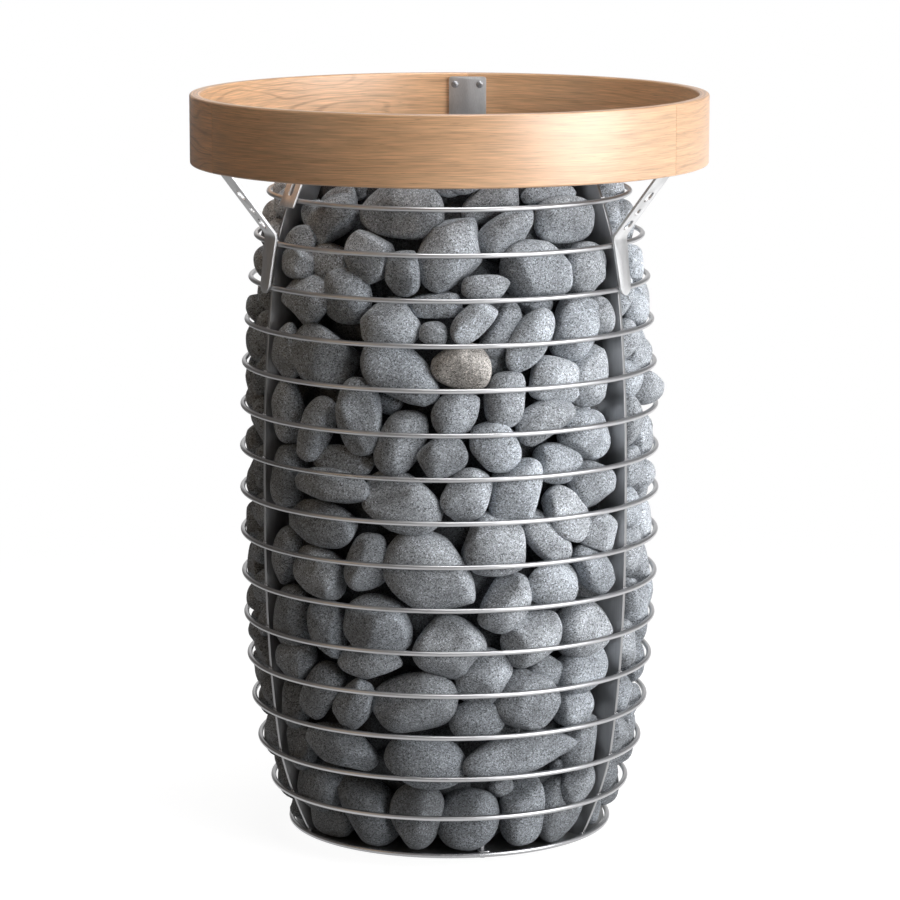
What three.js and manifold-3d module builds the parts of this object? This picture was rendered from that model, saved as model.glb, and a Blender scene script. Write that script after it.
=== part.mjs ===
// Electric sauna heater: an open barrel cage of rod rings on plate ribs, filled with stones round the
// heating elements, with a bent-wood safety railing on strap brackets.
// Millimetres, +Z up, origin on the floor under the middle of the cage. The front faces -Y.

import * as THREE from 'three';
import { mergeVertices } from 'three/addons/utils/BufferGeometryUtils.js';
import Module from 'manifold-3d';

const wasm = await Module();
wasm.setup();

// Fits
const FIT_GAP = 0.3; // between pieces that touch
const BORE_GAP = 0.3; // round a pin or tube in its hole

// Facets of round forms
const PIN_SIDES = 8;
const SCREW_SIDES = 6;
const TUBE_SIDES = 6;
const ARC_STEPS = 6;
const MERGE_DISTANCE = 1e-4; // corners closer than this are one

// Cage: rod rings stacked in a barrel
const RING_COUNT = 17;
const RING_PITCH = 42;
const ROD_DIAMETER = 5;
const BELLY_RADIUS = 205; // rod centre line at mid height
const SHOULDER_INSET = 15.6; // inside the belly, where the barrel starts to turn in
const SHOULDER_RINGS = 2; // rings from each end to the shoulder
const END_INSET = 46.3; // inside the belly, at the top and bottom rings
const BELLY_POWER = 2.5; // how flat the belly is
const RING_SEGMENTS = 27; // a multiple of the number of ribs
const ROD_SIDES = 5;

// Ribs, edge outwards, one behind and two in front
const RIB_AZIMUTHS = [90, 210, 330];
const RIB_THICKNESS = 4;
const RIB_WIDTH = 30;
const RIB_TOP_REACH = 5; // above the top ring's centre line

// Base plate, its screws and the lugs on the bottom ring that they hold to
const FLOOR_CLEARANCE = 12;
const BASE_THICKNESS = 3;
const LUG_AZIMUTHS = [45, 165, 285];
const LUG_WIDTH = 12;
const LUG_LENGTH = 20;
const LUG_THICKNESS = 2.5;
const LUG_RISE = 0.8; // underside above the bottom ring's centre line
const BASE_SCREW_DIAMETER = 5;
const BASE_SCREW_HEAD_DIAMETER = 9;
const BASE_SCREW_HEAD_FLAT = 7; // across the flat of the head
const BASE_SCREW_HEAD_HEIGHT = 3;
const BASE_SCREW_REACH = 7; // above the lug

// Levelling feet on threaded studs in weld nuts
const FOOT_PAD_DIAMETER = 30;
const FOOT_PAD_TOP_DIAMETER = 16;
const FOOT_PAD_HEIGHT = 6;
const FOOT_PAD_CHAMFER = 2;
const STUD_DIAMETER = 8;
const FOOT_TRAVEL = 12;
const WELD_NUT_WIDTH = 17; // across corners
const WELD_NUT_HEIGHT = 8;

// Bent-wood safety railing
const RAILING_RADIUS = 253.5; // outside
const RAILING_WALL = 10;
const RAILING_HEIGHT = 68;
const RAILING_DROP = 14.5; // lower edge below the top ring
const RAILING_EDGE_RADIUS = 3;
const RAILING_SEGMENTS = 36;

// Railing brackets: bent straps, the back one a little to the right of its rib
const BRACKET_AZIMUTHS = [88, 210, 330];
const STRAP_WIDTH = 25;
const STRAP_PLATE_WIDTH = 38.5; // upright part against the railing
const STRAP_PLATE_RISE = 10; // from the upper bend to where the strap widens
const STRAP_THICKNESS = 2.5;
const STRAP_BendRadius = 7;
const TONGUE_TIP_RADIUS = 9.5;
const TONGUE_REACH = 6.5; // below the lower ring that the tongue lies on
const KNEE_RISE = 8; // above the upper ring that the tongue lies on
const FLARE_ANGLE = 38; // from upright
const STRAP_TOP_DROP = 3.5; // below the railing's top edge
const STRAP_CORNER_RADIUS = 3;
const FLARE_HOLES = [ // by their share of the flared leg, from the knee
  { share: 0.185, diameter: 12.5 },
  { share: 0.4, diameter: 8.5 },
  { share: 0.645, diameter: 12.5 },
];

// Railing screws, two on each bracket
const SCREW_SPACING = 26;
const SCREW_DROP = 8; // below the strap's top edge
const SCREW_DIAMETER = 4;
const SCREW_DEPTH = 7; // into the wood
const SCREW_HEAD_DIAMETER = 7.6;
const SCREW_HEAD_HEIGHT = 2.6;
const SCREW_DOME_WIDTH = 4.6; // where the dome of the head turns down
const SCREW_DOME_HEIGHT = 0.5;

// Clip plate hung on the top ring beside the left rib
const CLIP_AZIMUTH = 214.5;
const CLIP_WIDTH = 26;
const CLIP_THICKNESS = 2;
const CLIP_REACH = 8.5; // below the second ring from the top
const CLIP_HOOK_LENGTH = 14; // inwards over the top ring
const CLIP_BendRadius = 2;
const CLIP_SLOT_RISE = 3; // above the second ring from the top
const CLIP_SLOT_WIDTH = 7;
const CLIP_SLOT_LENGTH = 16;

// Heating elements: double hairpins that stand on one circle
const ELEMENT_COUNT = 3;
const ELEMENT_LEGS = 4;
const ELEMENT_DIAMETER = 8;
const ELEMENT_INSET = 22; // from the housing's edge to the circle of legs
const ELEMENT_BEND_STEPS = 6;
const ELEMENT_LOW_BEND = 30; // middle bend above the housing
const ELEMENT_COVER = 14; // from the top bends to the stones above

// Terminal housing with the block and the star bar
const HOUSING_RADIUS = 88;
const HOUSING_HEIGHT = 60;
const HOUSING_WALL = 1.5;
const HOUSING_SEGMENTS = 18;
const ELEMENT_TAIL = 30; // inside the housing
const BLOCK_LENGTH = 64;
const BLOCK_WIDTH = 36;
const BLOCK_HEIGHT = 24;
const BLOCK_SHOULDER_WIDTH = 9;
const BLOCK_SHOULDER_HEIGHT = 11;
const STAR_BAR_INSET = 18; // from the circle of legs to the bar's inner edge
const STAR_BAR_WIDTH = 8;
const STAR_BAR_THICKNESS = 2;
const STAR_BAR_RISE = 8; // above the elements' ends
const STAR_LUG_WIDTH = 14;
const STAR_LUG_OVERLAP = 7; // of a lug on the bar

// Grommet for the supply cord
const GROMMET_AZIMUTH = 90;
const GROMMET_MARGIN = 4; // to the housing's wall
const GROMMET_BORE = 12;
const GROMMET_NECK = 19;
const GROMMET_FLANGE = 25;
const GROMMET_LIP = 2.5;

// Stones: rows of pebbles against the cage in the bays between the ribs, more inside and on top
const STONE_ROWS = 12;
const STONE_TIERS = ['lower', 'middle', 'upper'];
const STONES_PER_ROW = 5; // in one bay
const STONE_HOLLOW_MARGIN = 3; // round the terminal housing
const STONE_SEAM_DEPTH = 22; // from the rods to the seams between stones
const STONE_SHOULDER_DEPTH = 6.5; // from the rods to the edge of a stone's crown
const STONE_CROWN_SHARE = 0.62; // of a stone's width and height
const STONE_UNEVENNESS = 5;
const STONE_CROWN_UNEVENNESS = 2;
const STONE_SLIP = 0.3; // of half a stone's width, sideways
const STONE_STAGGER = 7; // seams up and down from the row line
const HOLLOW_SEGMENTS = 4; // in one bay
const CORE_MARGIN = 12; // from the elements
const CORE_DIP = 10; // between one stone and the next
const CORE_SIDES = 6;
const CORE_STONES = 9;
const CROWN_DEPTH = 30; // top layer starts below the top ring
const CROWN_BACKING = 24;
const CROWN_BACKING_SIDES = 12;
const CROWN_SIZE_SPREAD = 0.1;
const CROWN_OUTER_STONES = 8;
const CROWN_OUTER_INSET = 26; // from the edge of the layer
const CROWN_OUTER_SIZE = 42;
const CROWN_OUTER_RISE = 24;
const CROWN_INNER_STONES = 3;
const CROWN_INNER_SHARE = 0.34; // of the layer's radius
const CROWN_INNER_SIZE = 46;
const CROWN_INNER_RISE = 34;

// Sizes that follow
const rodRadius = ROD_DIAMETER / 2;
const shoulderRadius = BELLY_RADIUS - SHOULDER_INSET;
const endRadius = BELLY_RADIUS - END_INSET;
const baseTop = FLOOR_CLEARANCE + BASE_THICKNESS;
const seatHeight = baseTop + FIT_GAP;
const cageHalf = RING_PITCH * (RING_COUNT - 1) / 2;
const ringHeight = (index) => seatHeight - LUG_RISE + RING_PITCH * index;
const cageMiddle = ringHeight(0) + cageHalf;
const topRing = RING_COUNT - 1;
const ribTop = ringHeight(topRing) + RIB_TOP_REACH;
const shoulderHeight = cageHalf - SHOULDER_RINGS * RING_PITCH;
const baseRadius = endRadius - rodRadius - FIT_GAP;
const railingBottom = ringHeight(topRing) - RAILING_DROP;
const railingTop = railingBottom + RAILING_HEIGHT;
const railingInner = RAILING_RADIUS - RAILING_WALL;
const housingTop = seatHeight + HOUSING_HEIGHT;
const crownBottom = ringHeight(topRing) - CROWN_DEPTH;
const rowHeight = (crownBottom - FIT_GAP - seatHeight) / STONE_ROWS;
const rodFacetDip = BELLY_RADIUS * (1 - Math.cos(Math.PI / RING_SEGMENTS));
const studTop = baseTop + WELD_NUT_HEIGHT + FOOT_TRAVEL;
const tubeRadius = ELEMENT_DIAMETER / 2;
const elementCircle = HOUSING_RADIUS - ELEMENT_INSET;

const radians = THREE.MathUtils.degToRad;

// Rod centre line of the barrel at a height
function barrelRadius(z) {
  const height = Math.abs(z - cageMiddle);
  if (height <= shoulderHeight) {
    return BELLY_RADIUS - SHOULDER_INSET * (height / shoulderHeight) ** BELLY_POWER;
  }
  const t = (height - shoulderHeight) / (cageHalf - shoulderHeight);
  return shoulderRadius - (shoulderRadius - endRadius) * (2 * t + t * t) / 3;
}

// Inside of the cage, where the rings' rods end
function cageInside(z) {
  return barrelRadius(z) - rodRadius - FIT_GAP;
}

// Feet stand midway between the terminal housing and the ribs
const footRadius = (HOUSING_RADIUS + cageInside(ringHeight(0)) - RIB_WIDTH) / 2;

// Closed geometry as a solid for joining and cutting
function toSolid(geometry) {
  const bare = geometry.clone();
  bare.deleteAttribute('normal');
  bare.deleteAttribute('uv');
  const merged = mergeVertices(bare, MERGE_DISTANCE);
  const corners = merged.index.array;
  const triangles = [];
  for (let i = 0; i < corners.length; i += 3) {
    const [a, b, c] = corners.slice(i, i + 3);
    if (a !== b && b !== c && c !== a) {
      triangles.push(a, b, c);
    }
  }
  return new wasm.Manifold(new wasm.Mesh({
    numProp: 3,
    vertProperties: new Float32Array(merged.attributes.position.array),
    triVerts: new Uint32Array(triangles),
  }));
}

// Solid back to a geometry
function toGeometry(solid) {
  const mesh = solid.getMesh();
  const geometry = new THREE.BufferGeometry();
  geometry.setAttribute('position', new THREE.BufferAttribute(new Float32Array(mesh.vertProperties), 3));
  geometry.setIndex(new THREE.BufferAttribute(new Uint32Array(mesh.triVerts), 1));
  geometry.computeVertexNormals();
  return geometry;
}

// Profile of radius and height turned round the Z axis, with a corner at the back
function turned(profile, segments) {
  return new THREE.LatheGeometry(profile, segments).rotateX(Math.PI / 2).rotateZ(Math.PI);
}

// Outline of radius and height made into a plate that stands in the XZ plane
function standingPlate(outline, thickness) {
  const plate = new THREE.ExtrudeGeometry(outline, { depth: thickness, bevelEnabled: false });
  return plate.rotateX(Math.PI / 2).translate(0, thickness / 2, 0);
}

// Outline seen from above made into a flat plate that starts at a height
function flatPlate(outline, bottom, thickness) {
  const options = { depth: thickness, bevelEnabled: false, curveSegments: ARC_STEPS };
  return new THREE.ExtrudeGeometry(outline, options).translate(0, 0, bottom);
}

// Upright round bar, from a height to a height, with a corner at the back
function uprightBar(radius, bottom, top, sides) {
  const bar = new THREE.CylinderGeometry(radius, radius, top - bottom, sides);
  return bar.rotateX(Math.PI / 2).rotateZ(Math.PI).translate(0, 0, (bottom + top) / 2);
}

// Radius of a faceted hole that clears a round pin
function boreRadius(pinRadius, sides) {
  return (pinRadius + BORE_GAP) / Math.cos(Math.PI / sides);
}

// Copy of a geometry turned round the Z axis
function atAzimuth(geometry, azimuth, radius = 0) {
  return geometry.clone().translate(radius, 0, 0).rotateZ(radians(azimuth));
}

// Repeatable unevenness between 0 and 1 for a numbered place
function uneven(...places) {
  return THREE.MathUtils.seededRandom(places.reduce((seed, place) => seed * 31 + place, 1));
}

// Route through given points, with a section at each point
class Route extends THREE.Curve {
  constructor(points) {
    super();
    this.points = points;
  }
  getPointAt(u) {
    return this.points[Math.round(u * (this.points.length - 1))].clone();
  }
  getPoint(t) {
    return this.getPointAt(t);
  }
  getTangentAt(u) {
    const last = this.points.length - 1;
    const index = Math.round(u * last);
    const before = this.points[Math.max(index - 1, 0)];
    const after = this.points[Math.min(index + 1, last)];
    return after.clone().sub(before).normalize();
  }
}

const heater = new THREE.Group();
heater.name = 'sauna_heater';

const rodSteel = new THREE.MeshStandardMaterial({ color: 0xb9bcbf, roughness: 0.3, metalness: 1 });
const plateSteel = new THREE.MeshStandardMaterial({ color: 0x8f9295, roughness: 0.45, metalness: 1 });
const strapSteel = new THREE.MeshStandardMaterial({ color: 0xa9acae, roughness: 0.4, metalness: 1 });
const screwSteel = new THREE.MeshStandardMaterial({ color: 0xc4c6c8, roughness: 0.25, metalness: 1 });
const elementSteel = new THREE.MeshStandardMaterial({ color: 0x5a5550, roughness: 0.5, metalness: 1 });
const oak = new THREE.MeshStandardMaterial({ color: 0xd9b489, roughness: 0.6, metalness: 0 });
const stone = new THREE.MeshStandardMaterial({ color: 0x7b7f84, roughness: 0.85, metalness: 0 });
const porcelain = new THREE.MeshStandardMaterial({ color: 0xe4ded2, roughness: 0.5, metalness: 0 });
const brass = new THREE.MeshStandardMaterial({ color: 0xb08d4a, roughness: 0.35, metalness: 1 });
const silicone = new THREE.MeshStandardMaterial({ color: 0x2b2b2b, roughness: 0.8, metalness: 0 });

// Adds a named piece
function addPiece(name, geometry, material, parent = heater) {
  const mesh = new THREE.Mesh(geometry, material);
  mesh.name = name;
  parent.add(mesh);
  return mesh;
}

const numbered = (name, index) => `${name}_${String(index + 1).padStart(2, '0')}`;

// Cage rings, from the bottom up, with a corner of each ring at every rib
function ring(index) {
  const radius = barrelRadius(ringHeight(index));
  const torus = new THREE.TorusGeometry(radius, rodRadius, ROD_SIDES, RING_SEGMENTS);
  return torus.rotateZ(Math.PI / 2).translate(0, 0, ringHeight(index));
}

// Bottom ring with its welded lugs, drilled for the base screws
const lugOuter = endRadius;
const lugInner = lugOuter - LUG_LENGTH;
const lugHole = lugInner + LUG_LENGTH / 2 - rodRadius;
const baseScrewBore = boreRadius(BASE_SCREW_DIAMETER / 2, SCREW_SIDES);

function bottomRing() {
  const lug = new THREE.BoxGeometry(LUG_LENGTH, LUG_WIDTH, LUG_THICKNESS);
  lug.translate((lugInner + lugOuter) / 2, 0, seatHeight + LUG_THICKNESS / 2);
  const hole = uprightBar(baseScrewBore, 0, seatHeight + 2 * LUG_THICKNESS, SCREW_SIDES);
  let solid = toSolid(ring(0));
  for (const azimuth of LUG_AZIMUTHS) {
    solid = solid.add(toSolid(atAzimuth(lug, azimuth)));
    solid = solid.subtract(toSolid(atAzimuth(hole, azimuth, lugHole)));
  }
  return toGeometry(solid);
}

addPiece(numbered('cage_ring', 0), bottomRing(), rodSteel);
for (let index = 1; index < RING_COUNT; index += 1) {
  addPiece(numbered('cage_ring', index), ring(index), rodSteel);
}

// Ribs: plates whose outer edge follows the barrel from the base plate to just above the top ring
function ribOutline() {
  const outer = [new THREE.Vector2(cageInside(ringHeight(0)), seatHeight)];
  for (let index = 1; index <= topRing; index += 1) {
    outer.push(new THREE.Vector2(cageInside(ringHeight(index)), ringHeight(index)));
  }
  outer.push(new THREE.Vector2(cageInside(ribTop), ribTop));
  const inner = outer.map((point) => new THREE.Vector2(point.x - RIB_WIDTH, point.y));
  return new THREE.Shape([...outer, ...inner.reverse()]);
}

const ribPlate = standingPlate(ribOutline(), RIB_THICKNESS);
RIB_AZIMUTHS.forEach((azimuth, index) => {
  const rib = addPiece(numbered('rib', index), ribPlate, plateSteel);
  rib.rotation.z = radians(azimuth);
});

// Base plate with weld nuts for the feet and holes for the studs, screws and grommet
const grommetPlace = HOUSING_RADIUS - HOUSING_WALL - GROMMET_MARGIN - GROMMET_FLANGE / 2;

function basePlate() {
  const disc = uprightBar(baseRadius, FLOOR_CLEARANCE, baseTop, RING_SEGMENTS);
  const nut = uprightBar(WELD_NUT_WIDTH / 2, FLOOR_CLEARANCE, baseTop + WELD_NUT_HEIGHT, 6);
  const studHole = uprightBar(boreRadius(STUD_DIAMETER / 2, PIN_SIDES), 0, studTop, PIN_SIDES);
  const screwHole = uprightBar(baseScrewBore, 0, studTop, SCREW_SIDES);
  const grommetHole = uprightBar(boreRadius(GROMMET_NECK / 2, PIN_SIDES), 0, studTop, PIN_SIDES);
  let solid = toSolid(disc);
  for (const azimuth of RIB_AZIMUTHS) {
    solid = solid.add(toSolid(atAzimuth(nut, azimuth, footRadius)));
    solid = solid.subtract(toSolid(atAzimuth(studHole, azimuth, footRadius)));
  }
  for (const azimuth of LUG_AZIMUTHS) {
    solid = solid.subtract(toSolid(atAzimuth(screwHole, azimuth, lugHole)));
  }
  return toGeometry(solid.subtract(toSolid(atAzimuth(grommetHole, GROMMET_AZIMUTH, grommetPlace))));
}

addPiece('base_plate', basePlate(), plateSteel);

// Base screws, up through the plate and the lugs
const screwTip = seatHeight + LUG_THICKNESS + BASE_SCREW_REACH;
const screwSeat = FLOOR_CLEARANCE - FIT_GAP;
const baseScrew = turned([
  new THREE.Vector2(0, screwSeat - BASE_SCREW_HEAD_HEIGHT),
  new THREE.Vector2(BASE_SCREW_HEAD_FLAT / 2, screwSeat - BASE_SCREW_HEAD_HEIGHT),
  new THREE.Vector2(BASE_SCREW_HEAD_DIAMETER / 2, screwSeat),
  new THREE.Vector2(BASE_SCREW_DIAMETER / 2, screwSeat),
  new THREE.Vector2(BASE_SCREW_DIAMETER / 2, screwTip),
  new THREE.Vector2(0, screwTip),
], SCREW_SIDES);
LUG_AZIMUTHS.forEach((azimuth, index) => {
  addPiece(numbered('base_screw', index), atAzimuth(baseScrew, azimuth, lugHole), screwSteel);
});

// Levelling feet: pad and threaded stud in one piece
const foot = turned([
  new THREE.Vector2(0, 0),
  new THREE.Vector2(FOOT_PAD_DIAMETER / 2 - FOOT_PAD_CHAMFER, 0),
  new THREE.Vector2(FOOT_PAD_DIAMETER / 2, FOOT_PAD_CHAMFER),
  new THREE.Vector2(FOOT_PAD_DIAMETER / 2, FOOT_PAD_HEIGHT - FOOT_PAD_CHAMFER),
  new THREE.Vector2(FOOT_PAD_TOP_DIAMETER / 2, FOOT_PAD_HEIGHT),
  new THREE.Vector2(STUD_DIAMETER / 2, FOOT_PAD_HEIGHT),
  new THREE.Vector2(STUD_DIAMETER / 2, studTop),
  new THREE.Vector2(0, studTop),
], PIN_SIDES);
RIB_AZIMUTHS.forEach((azimuth, index) => {
  addPiece(numbered('levelling_foot', index), atAzimuth(foot, azimuth, footRadius), screwSteel);
});

// Railing brackets: the strap's bends in the XZ plane, from the tongue's tip to the upright plate
const upperSeat = topRing - 2;
const lowerSeat = topRing - 3;
const seatOn = (index) => new THREE.Vector2(barrelRadius(ringHeight(index)), ringHeight(index));
const tongueDirection = seatOn(upperSeat).sub(seatOn(lowerSeat)).normalize();
const tongueNormal = new THREE.Vector2(tongueDirection.y, -tongueDirection.x);
const seatOffset = rodRadius + FIT_GAP + STRAP_THICKNESS / 2;
const alongTongue = (index, reach) => seatOn(index)
  .addScaledVector(tongueNormal, seatOffset)
  .addScaledVector(tongueDirection, reach);
const strapTip = alongTongue(lowerSeat, -TONGUE_REACH);
const strapKnee = alongTongue(upperSeat, KNEE_RISE);
const railingFacet = railingInner * Math.cos(Math.PI / RAILING_SEGMENTS);
const railingSeat = Math.sqrt(railingFacet ** 2 - (STRAP_PLATE_WIDTH / 2) ** 2) - FIT_GAP;
const plateCentre = railingSeat - STRAP_THICKNESS / 2;
const flareRise = (plateCentre - strapKnee.x) / Math.tan(radians(FLARE_ANGLE));
const strapBend = new THREE.Vector2(plateCentre, strapKnee.y + flareRise);
const strapTop = new THREE.Vector2(plateCentre, railingTop - STRAP_TOP_DROP);
const screwHeight = strapTop.y - SCREW_DROP;

// Route with its corners rounded
function bentRoute(corners, radius, steps) {
  const path = new THREE.Path();
  path.moveTo(corners[0].x, corners[0].y);
  for (let i = 1; i < corners.length - 1; i += 1) {
    const before = corners[i].clone().add(corners[i - 1].clone().sub(corners[i]).setLength(radius));
    const after = corners[i].clone().add(corners[i + 1].clone().sub(corners[i]).setLength(radius));
    path.lineTo(before.x, before.y);
    path.quadraticCurveTo(corners[i].x, corners[i].y, after.x, after.y);
  }
  path.lineTo(corners.at(-1).x, corners.at(-1).y);
  return path.getPoints(steps);
}

// Strip of even thickness along a route
function strip(route, thickness) {
  const sides = [[], []];
  route.forEach((point, i) => {
    const before = route[Math.max(i - 1, 0)];
    const after = route[Math.min(i + 1, route.length - 1)];
    const direction = after.clone().sub(before).normalize();
    const normal = new THREE.Vector2(direction.y, -direction.x).multiplyScalar(thickness / 2);
    sides[0].push(point.clone().add(normal));
    sides[1].push(point.clone().sub(normal));
  });
  return new THREE.Shape([...sides[0], ...sides[1].reverse()]);
}

// Strap seen from outside: round tip, tapered tongue, straight leg, wider plate with cut corners
function strapFace() {
  const half = STRAP_WIDTH / 2;
  const plateHalf = STRAP_PLATE_WIDTH / 2;
  const legTop = strapBend.y + STRAP_PLATE_RISE;
  const top = strapTop.y + FIT_GAP;
  const tipCentre = strapTip.y + TONGUE_TIP_RADIUS;
  const face = new THREE.Shape();
  face.moveTo(half, strapKnee.y);
  face.lineTo(half, legTop);
  face.lineTo(plateHalf, legTop + plateHalf - half);
  face.lineTo(plateHalf, top - STRAP_CORNER_RADIUS);
  face.lineTo(plateHalf - STRAP_CORNER_RADIUS, top);
  face.lineTo(-plateHalf + STRAP_CORNER_RADIUS, top);
  face.lineTo(-plateHalf, top - STRAP_CORNER_RADIUS);
  face.lineTo(-plateHalf, legTop + plateHalf - half);
  face.lineTo(-half, legTop);
  face.lineTo(-half, strapKnee.y);
  face.lineTo(-TONGUE_TIP_RADIUS, tipCentre);
  face.absarc(0, tipCentre, TONGUE_TIP_RADIUS, Math.PI, 2 * Math.PI);
  face.closePath();
  return flatPlate(face, 0, RAILING_RADIUS).rotateX(Math.PI / 2).rotateZ(Math.PI / 2);
}

function bracket() {
  const route = bentRoute([strapTip, strapKnee, strapBend, strapTop], STRAP_BendRadius, 3);
  let solid = toSolid(standingPlate(strip(route, STRAP_THICKNESS), STRAP_PLATE_WIDTH));
  solid = solid.intersect(toSolid(strapFace()));
  const flare = strapBend.clone().sub(strapKnee);
  const outwards = new THREE.Vector3(flare.y, 0, -flare.x).normalize();
  const turn = new THREE.Quaternion().setFromUnitVectors(new THREE.Vector3(0, 1, 0), outwards);
  FLARE_HOLES.forEach(({ share, diameter }) => {
    const cutter = new THREE.CylinderGeometry(diameter / 2, diameter / 2, 4 * STRAP_THICKNESS, PIN_SIDES);
    cutter.applyQuaternion(turn);
    cutter.translate(strapKnee.x + flare.x * share, 0, strapKnee.y + flare.y * share);
    solid = solid.subtract(toSolid(cutter));
  });
  for (const side of [-1, 1]) {
    solid = solid.subtract(toSolid(screwHole(plateCentre - STRAP_PLATE_WIDTH, RAILING_RADIUS, side)));
  }
  return toGeometry(solid);
}

// Hole for a railing screw, from a radius to a radius
function screwHole(from, to, side) {
  const bore = boreRadius(SCREW_DIAMETER / 2, SCREW_SIDES);
  const bar = new THREE.CylinderGeometry(bore, bore, to - from, SCREW_SIDES).rotateZ(-Math.PI / 2);
  return bar.translate((from + to) / 2, side * SCREW_SPACING / 2, screwHeight);
}

const strapInside = plateCentre - STRAP_THICKNESS / 2 - FIT_GAP;
const screwEnd = railingFacet + SCREW_DEPTH;

// Dome-head screw through the plate into the wood
function railingScrew(side) {
  const length = screwEnd - strapInside + SCREW_HEAD_HEIGHT;
  const profile = [
    new THREE.Vector2(0, 0),
    new THREE.Vector2(SCREW_DOME_WIDTH / 2, SCREW_DOME_HEIGHT),
    new THREE.Vector2(SCREW_HEAD_DIAMETER / 2, SCREW_HEAD_HEIGHT),
    new THREE.Vector2(SCREW_DIAMETER / 2, SCREW_HEAD_HEIGHT),
    new THREE.Vector2(SCREW_DIAMETER / 2, length - SCREW_DIAMETER / 2),
    new THREE.Vector2(0, length),
  ];
  const screw = new THREE.LatheGeometry(profile, SCREW_SIDES).rotateZ(-Math.PI / 2);
  return screw.translate(strapInside - SCREW_HEAD_HEIGHT, side * SCREW_SPACING / 2, screwHeight);
}

const bracketStrap = bracket();
const screwPair = [railingScrew(-1), railingScrew(1)];
BRACKET_AZIMUTHS.forEach((azimuth, index) => {
  const station = new THREE.Group();
  station.rotation.z = radians(azimuth);
  heater.add(station);
  addPiece(numbered('railing_bracket', index), bracketStrap, strapSteel, station);
  screwPair.forEach((screw, side) => {
    addPiece(numbered('railing_screw', 2 * index + side), screw, screwSteel, station);
  });
});

// Railing: bent ring with rounded edges and a pilot hole for each screw
function railing() {
  const edge = RAILING_EDGE_RADIUS;
  const path = new THREE.Path();
  path.moveTo(railingInner + edge, railingBottom);
  path.lineTo(RAILING_RADIUS - edge, railingBottom);
  path.quadraticCurveTo(RAILING_RADIUS, railingBottom, RAILING_RADIUS, railingBottom + edge);
  path.lineTo(RAILING_RADIUS, railingTop - edge);
  path.quadraticCurveTo(RAILING_RADIUS, railingTop, RAILING_RADIUS - edge, railingTop);
  path.lineTo(railingInner + edge, railingTop);
  path.quadraticCurveTo(railingInner, railingTop, railingInner, railingTop - edge);
  path.lineTo(railingInner, railingBottom + edge);
  path.quadraticCurveTo(railingInner, railingBottom, railingInner + edge, railingBottom);
  let solid = toSolid(turned(path.getPoints(2), RAILING_SEGMENTS));
  for (const azimuth of BRACKET_AZIMUTHS) {
    for (const side of [-1, 1]) {
      const pilot = screwHole(strapInside, screwEnd + BORE_GAP, side);
      solid = solid.subtract(toSolid(atAzimuth(pilot, azimuth)));
    }
  }
  return toGeometry(solid);
}

addPiece('wood_railing', railing(), oak);

// Clip plate: hangs over the top ring, lies on the ring below and has a slot near its lower end
function hangerClip() {
  const upper = seatOn(topRing);
  const lower = seatOn(topRing - 1);
  const direction = upper.clone().sub(lower).normalize();
  const normal = new THREE.Vector2(direction.y, -direction.x);
  const offset = rodRadius + FIT_GAP + CLIP_THICKNESS / 2;
  const tip = lower.clone().addScaledVector(normal, offset).addScaledVector(direction, -CLIP_REACH);
  const hookHeight = upper.y + Math.max(rodRadius, RIB_TOP_REACH) + FIT_GAP + CLIP_THICKNESS / 2;
  const onPlate = upper.clone().addScaledVector(normal, offset);
  const crest = onPlate.addScaledVector(direction, (hookHeight - onPlate.y) / direction.y);
  const end = new THREE.Vector2(crest.x - CLIP_HOOK_LENGTH, hookHeight);
  const route = bentRoute([tip, crest, end], CLIP_BendRadius, 2);
  const slotFoot = tip.clone().addScaledVector(direction, CLIP_REACH + CLIP_SLOT_RISE);
  const slotMiddle = slotFoot.addScaledVector(direction, CLIP_SLOT_LENGTH / 2);
  const slot = new THREE.BoxGeometry(4 * CLIP_THICKNESS, CLIP_SLOT_WIDTH, CLIP_SLOT_LENGTH);
  slot.rotateY(Math.atan2(direction.x, direction.y));
  slot.translate(slotMiddle.x, 0, slotMiddle.y);
  const plate = toSolid(standingPlate(strip(route, CLIP_THICKNESS), CLIP_WIDTH));
  return toGeometry(plate.subtract(toSolid(slot)));
}

addPiece('hanger_clip', hangerClip(), strapSteel).rotation.z = radians(CLIP_AZIMUTH);

// Heating elements: legs on a circle, joined by bends at the top and at the bottom in turn
const legStep = 360 / (ELEMENT_COUNT * ELEMENT_LEGS);
const bendRadius = elementCircle * Math.sin(radians(legStep / 2));
const tailEnd = housingTop - ELEMENT_TAIL;
const highBend = crownBottom - ELEMENT_COVER - bendRadius - tubeRadius;
const lowBend = housingTop + ELEMENT_LOW_BEND + bendRadius;

function onCircle(azimuth, z) {
  return new THREE.Vector3(
    elementCircle * Math.cos(radians(azimuth)),
    elementCircle * Math.sin(radians(azimuth)),
    z,
  );
}

function elementRoute() {
  const points = [];
  for (let leg = 0; leg < ELEMENT_LEGS; leg += 1) {
    const azimuth = legStep * (leg - (ELEMENT_LEGS - 1) / 2);
    const rising = leg % 2 === 0;
    const low = leg === 0 || leg === ELEMENT_LEGS - 1 ? tailEnd : lowBend;
    const ends = [onCircle(azimuth, low), onCircle(azimuth, highBend)];
    points.push(...(rising ? ends : ends.reverse()));
    if (leg < ELEMENT_LEGS - 1) {
      const from = points.at(-1);
      const to = onCircle(azimuth + legStep, from.z);
      for (let step = 1; step < ELEMENT_BEND_STEPS; step += 1) {
        const angle = Math.PI * step / ELEMENT_BEND_STEPS;
        const point = from.clone().lerp(to, (1 - Math.cos(angle)) / 2);
        point.z += (rising ? 1 : -1) * bendRadius * Math.sin(angle);
        points.push(point);
      }
    }
  }
  return points;
}

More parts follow.
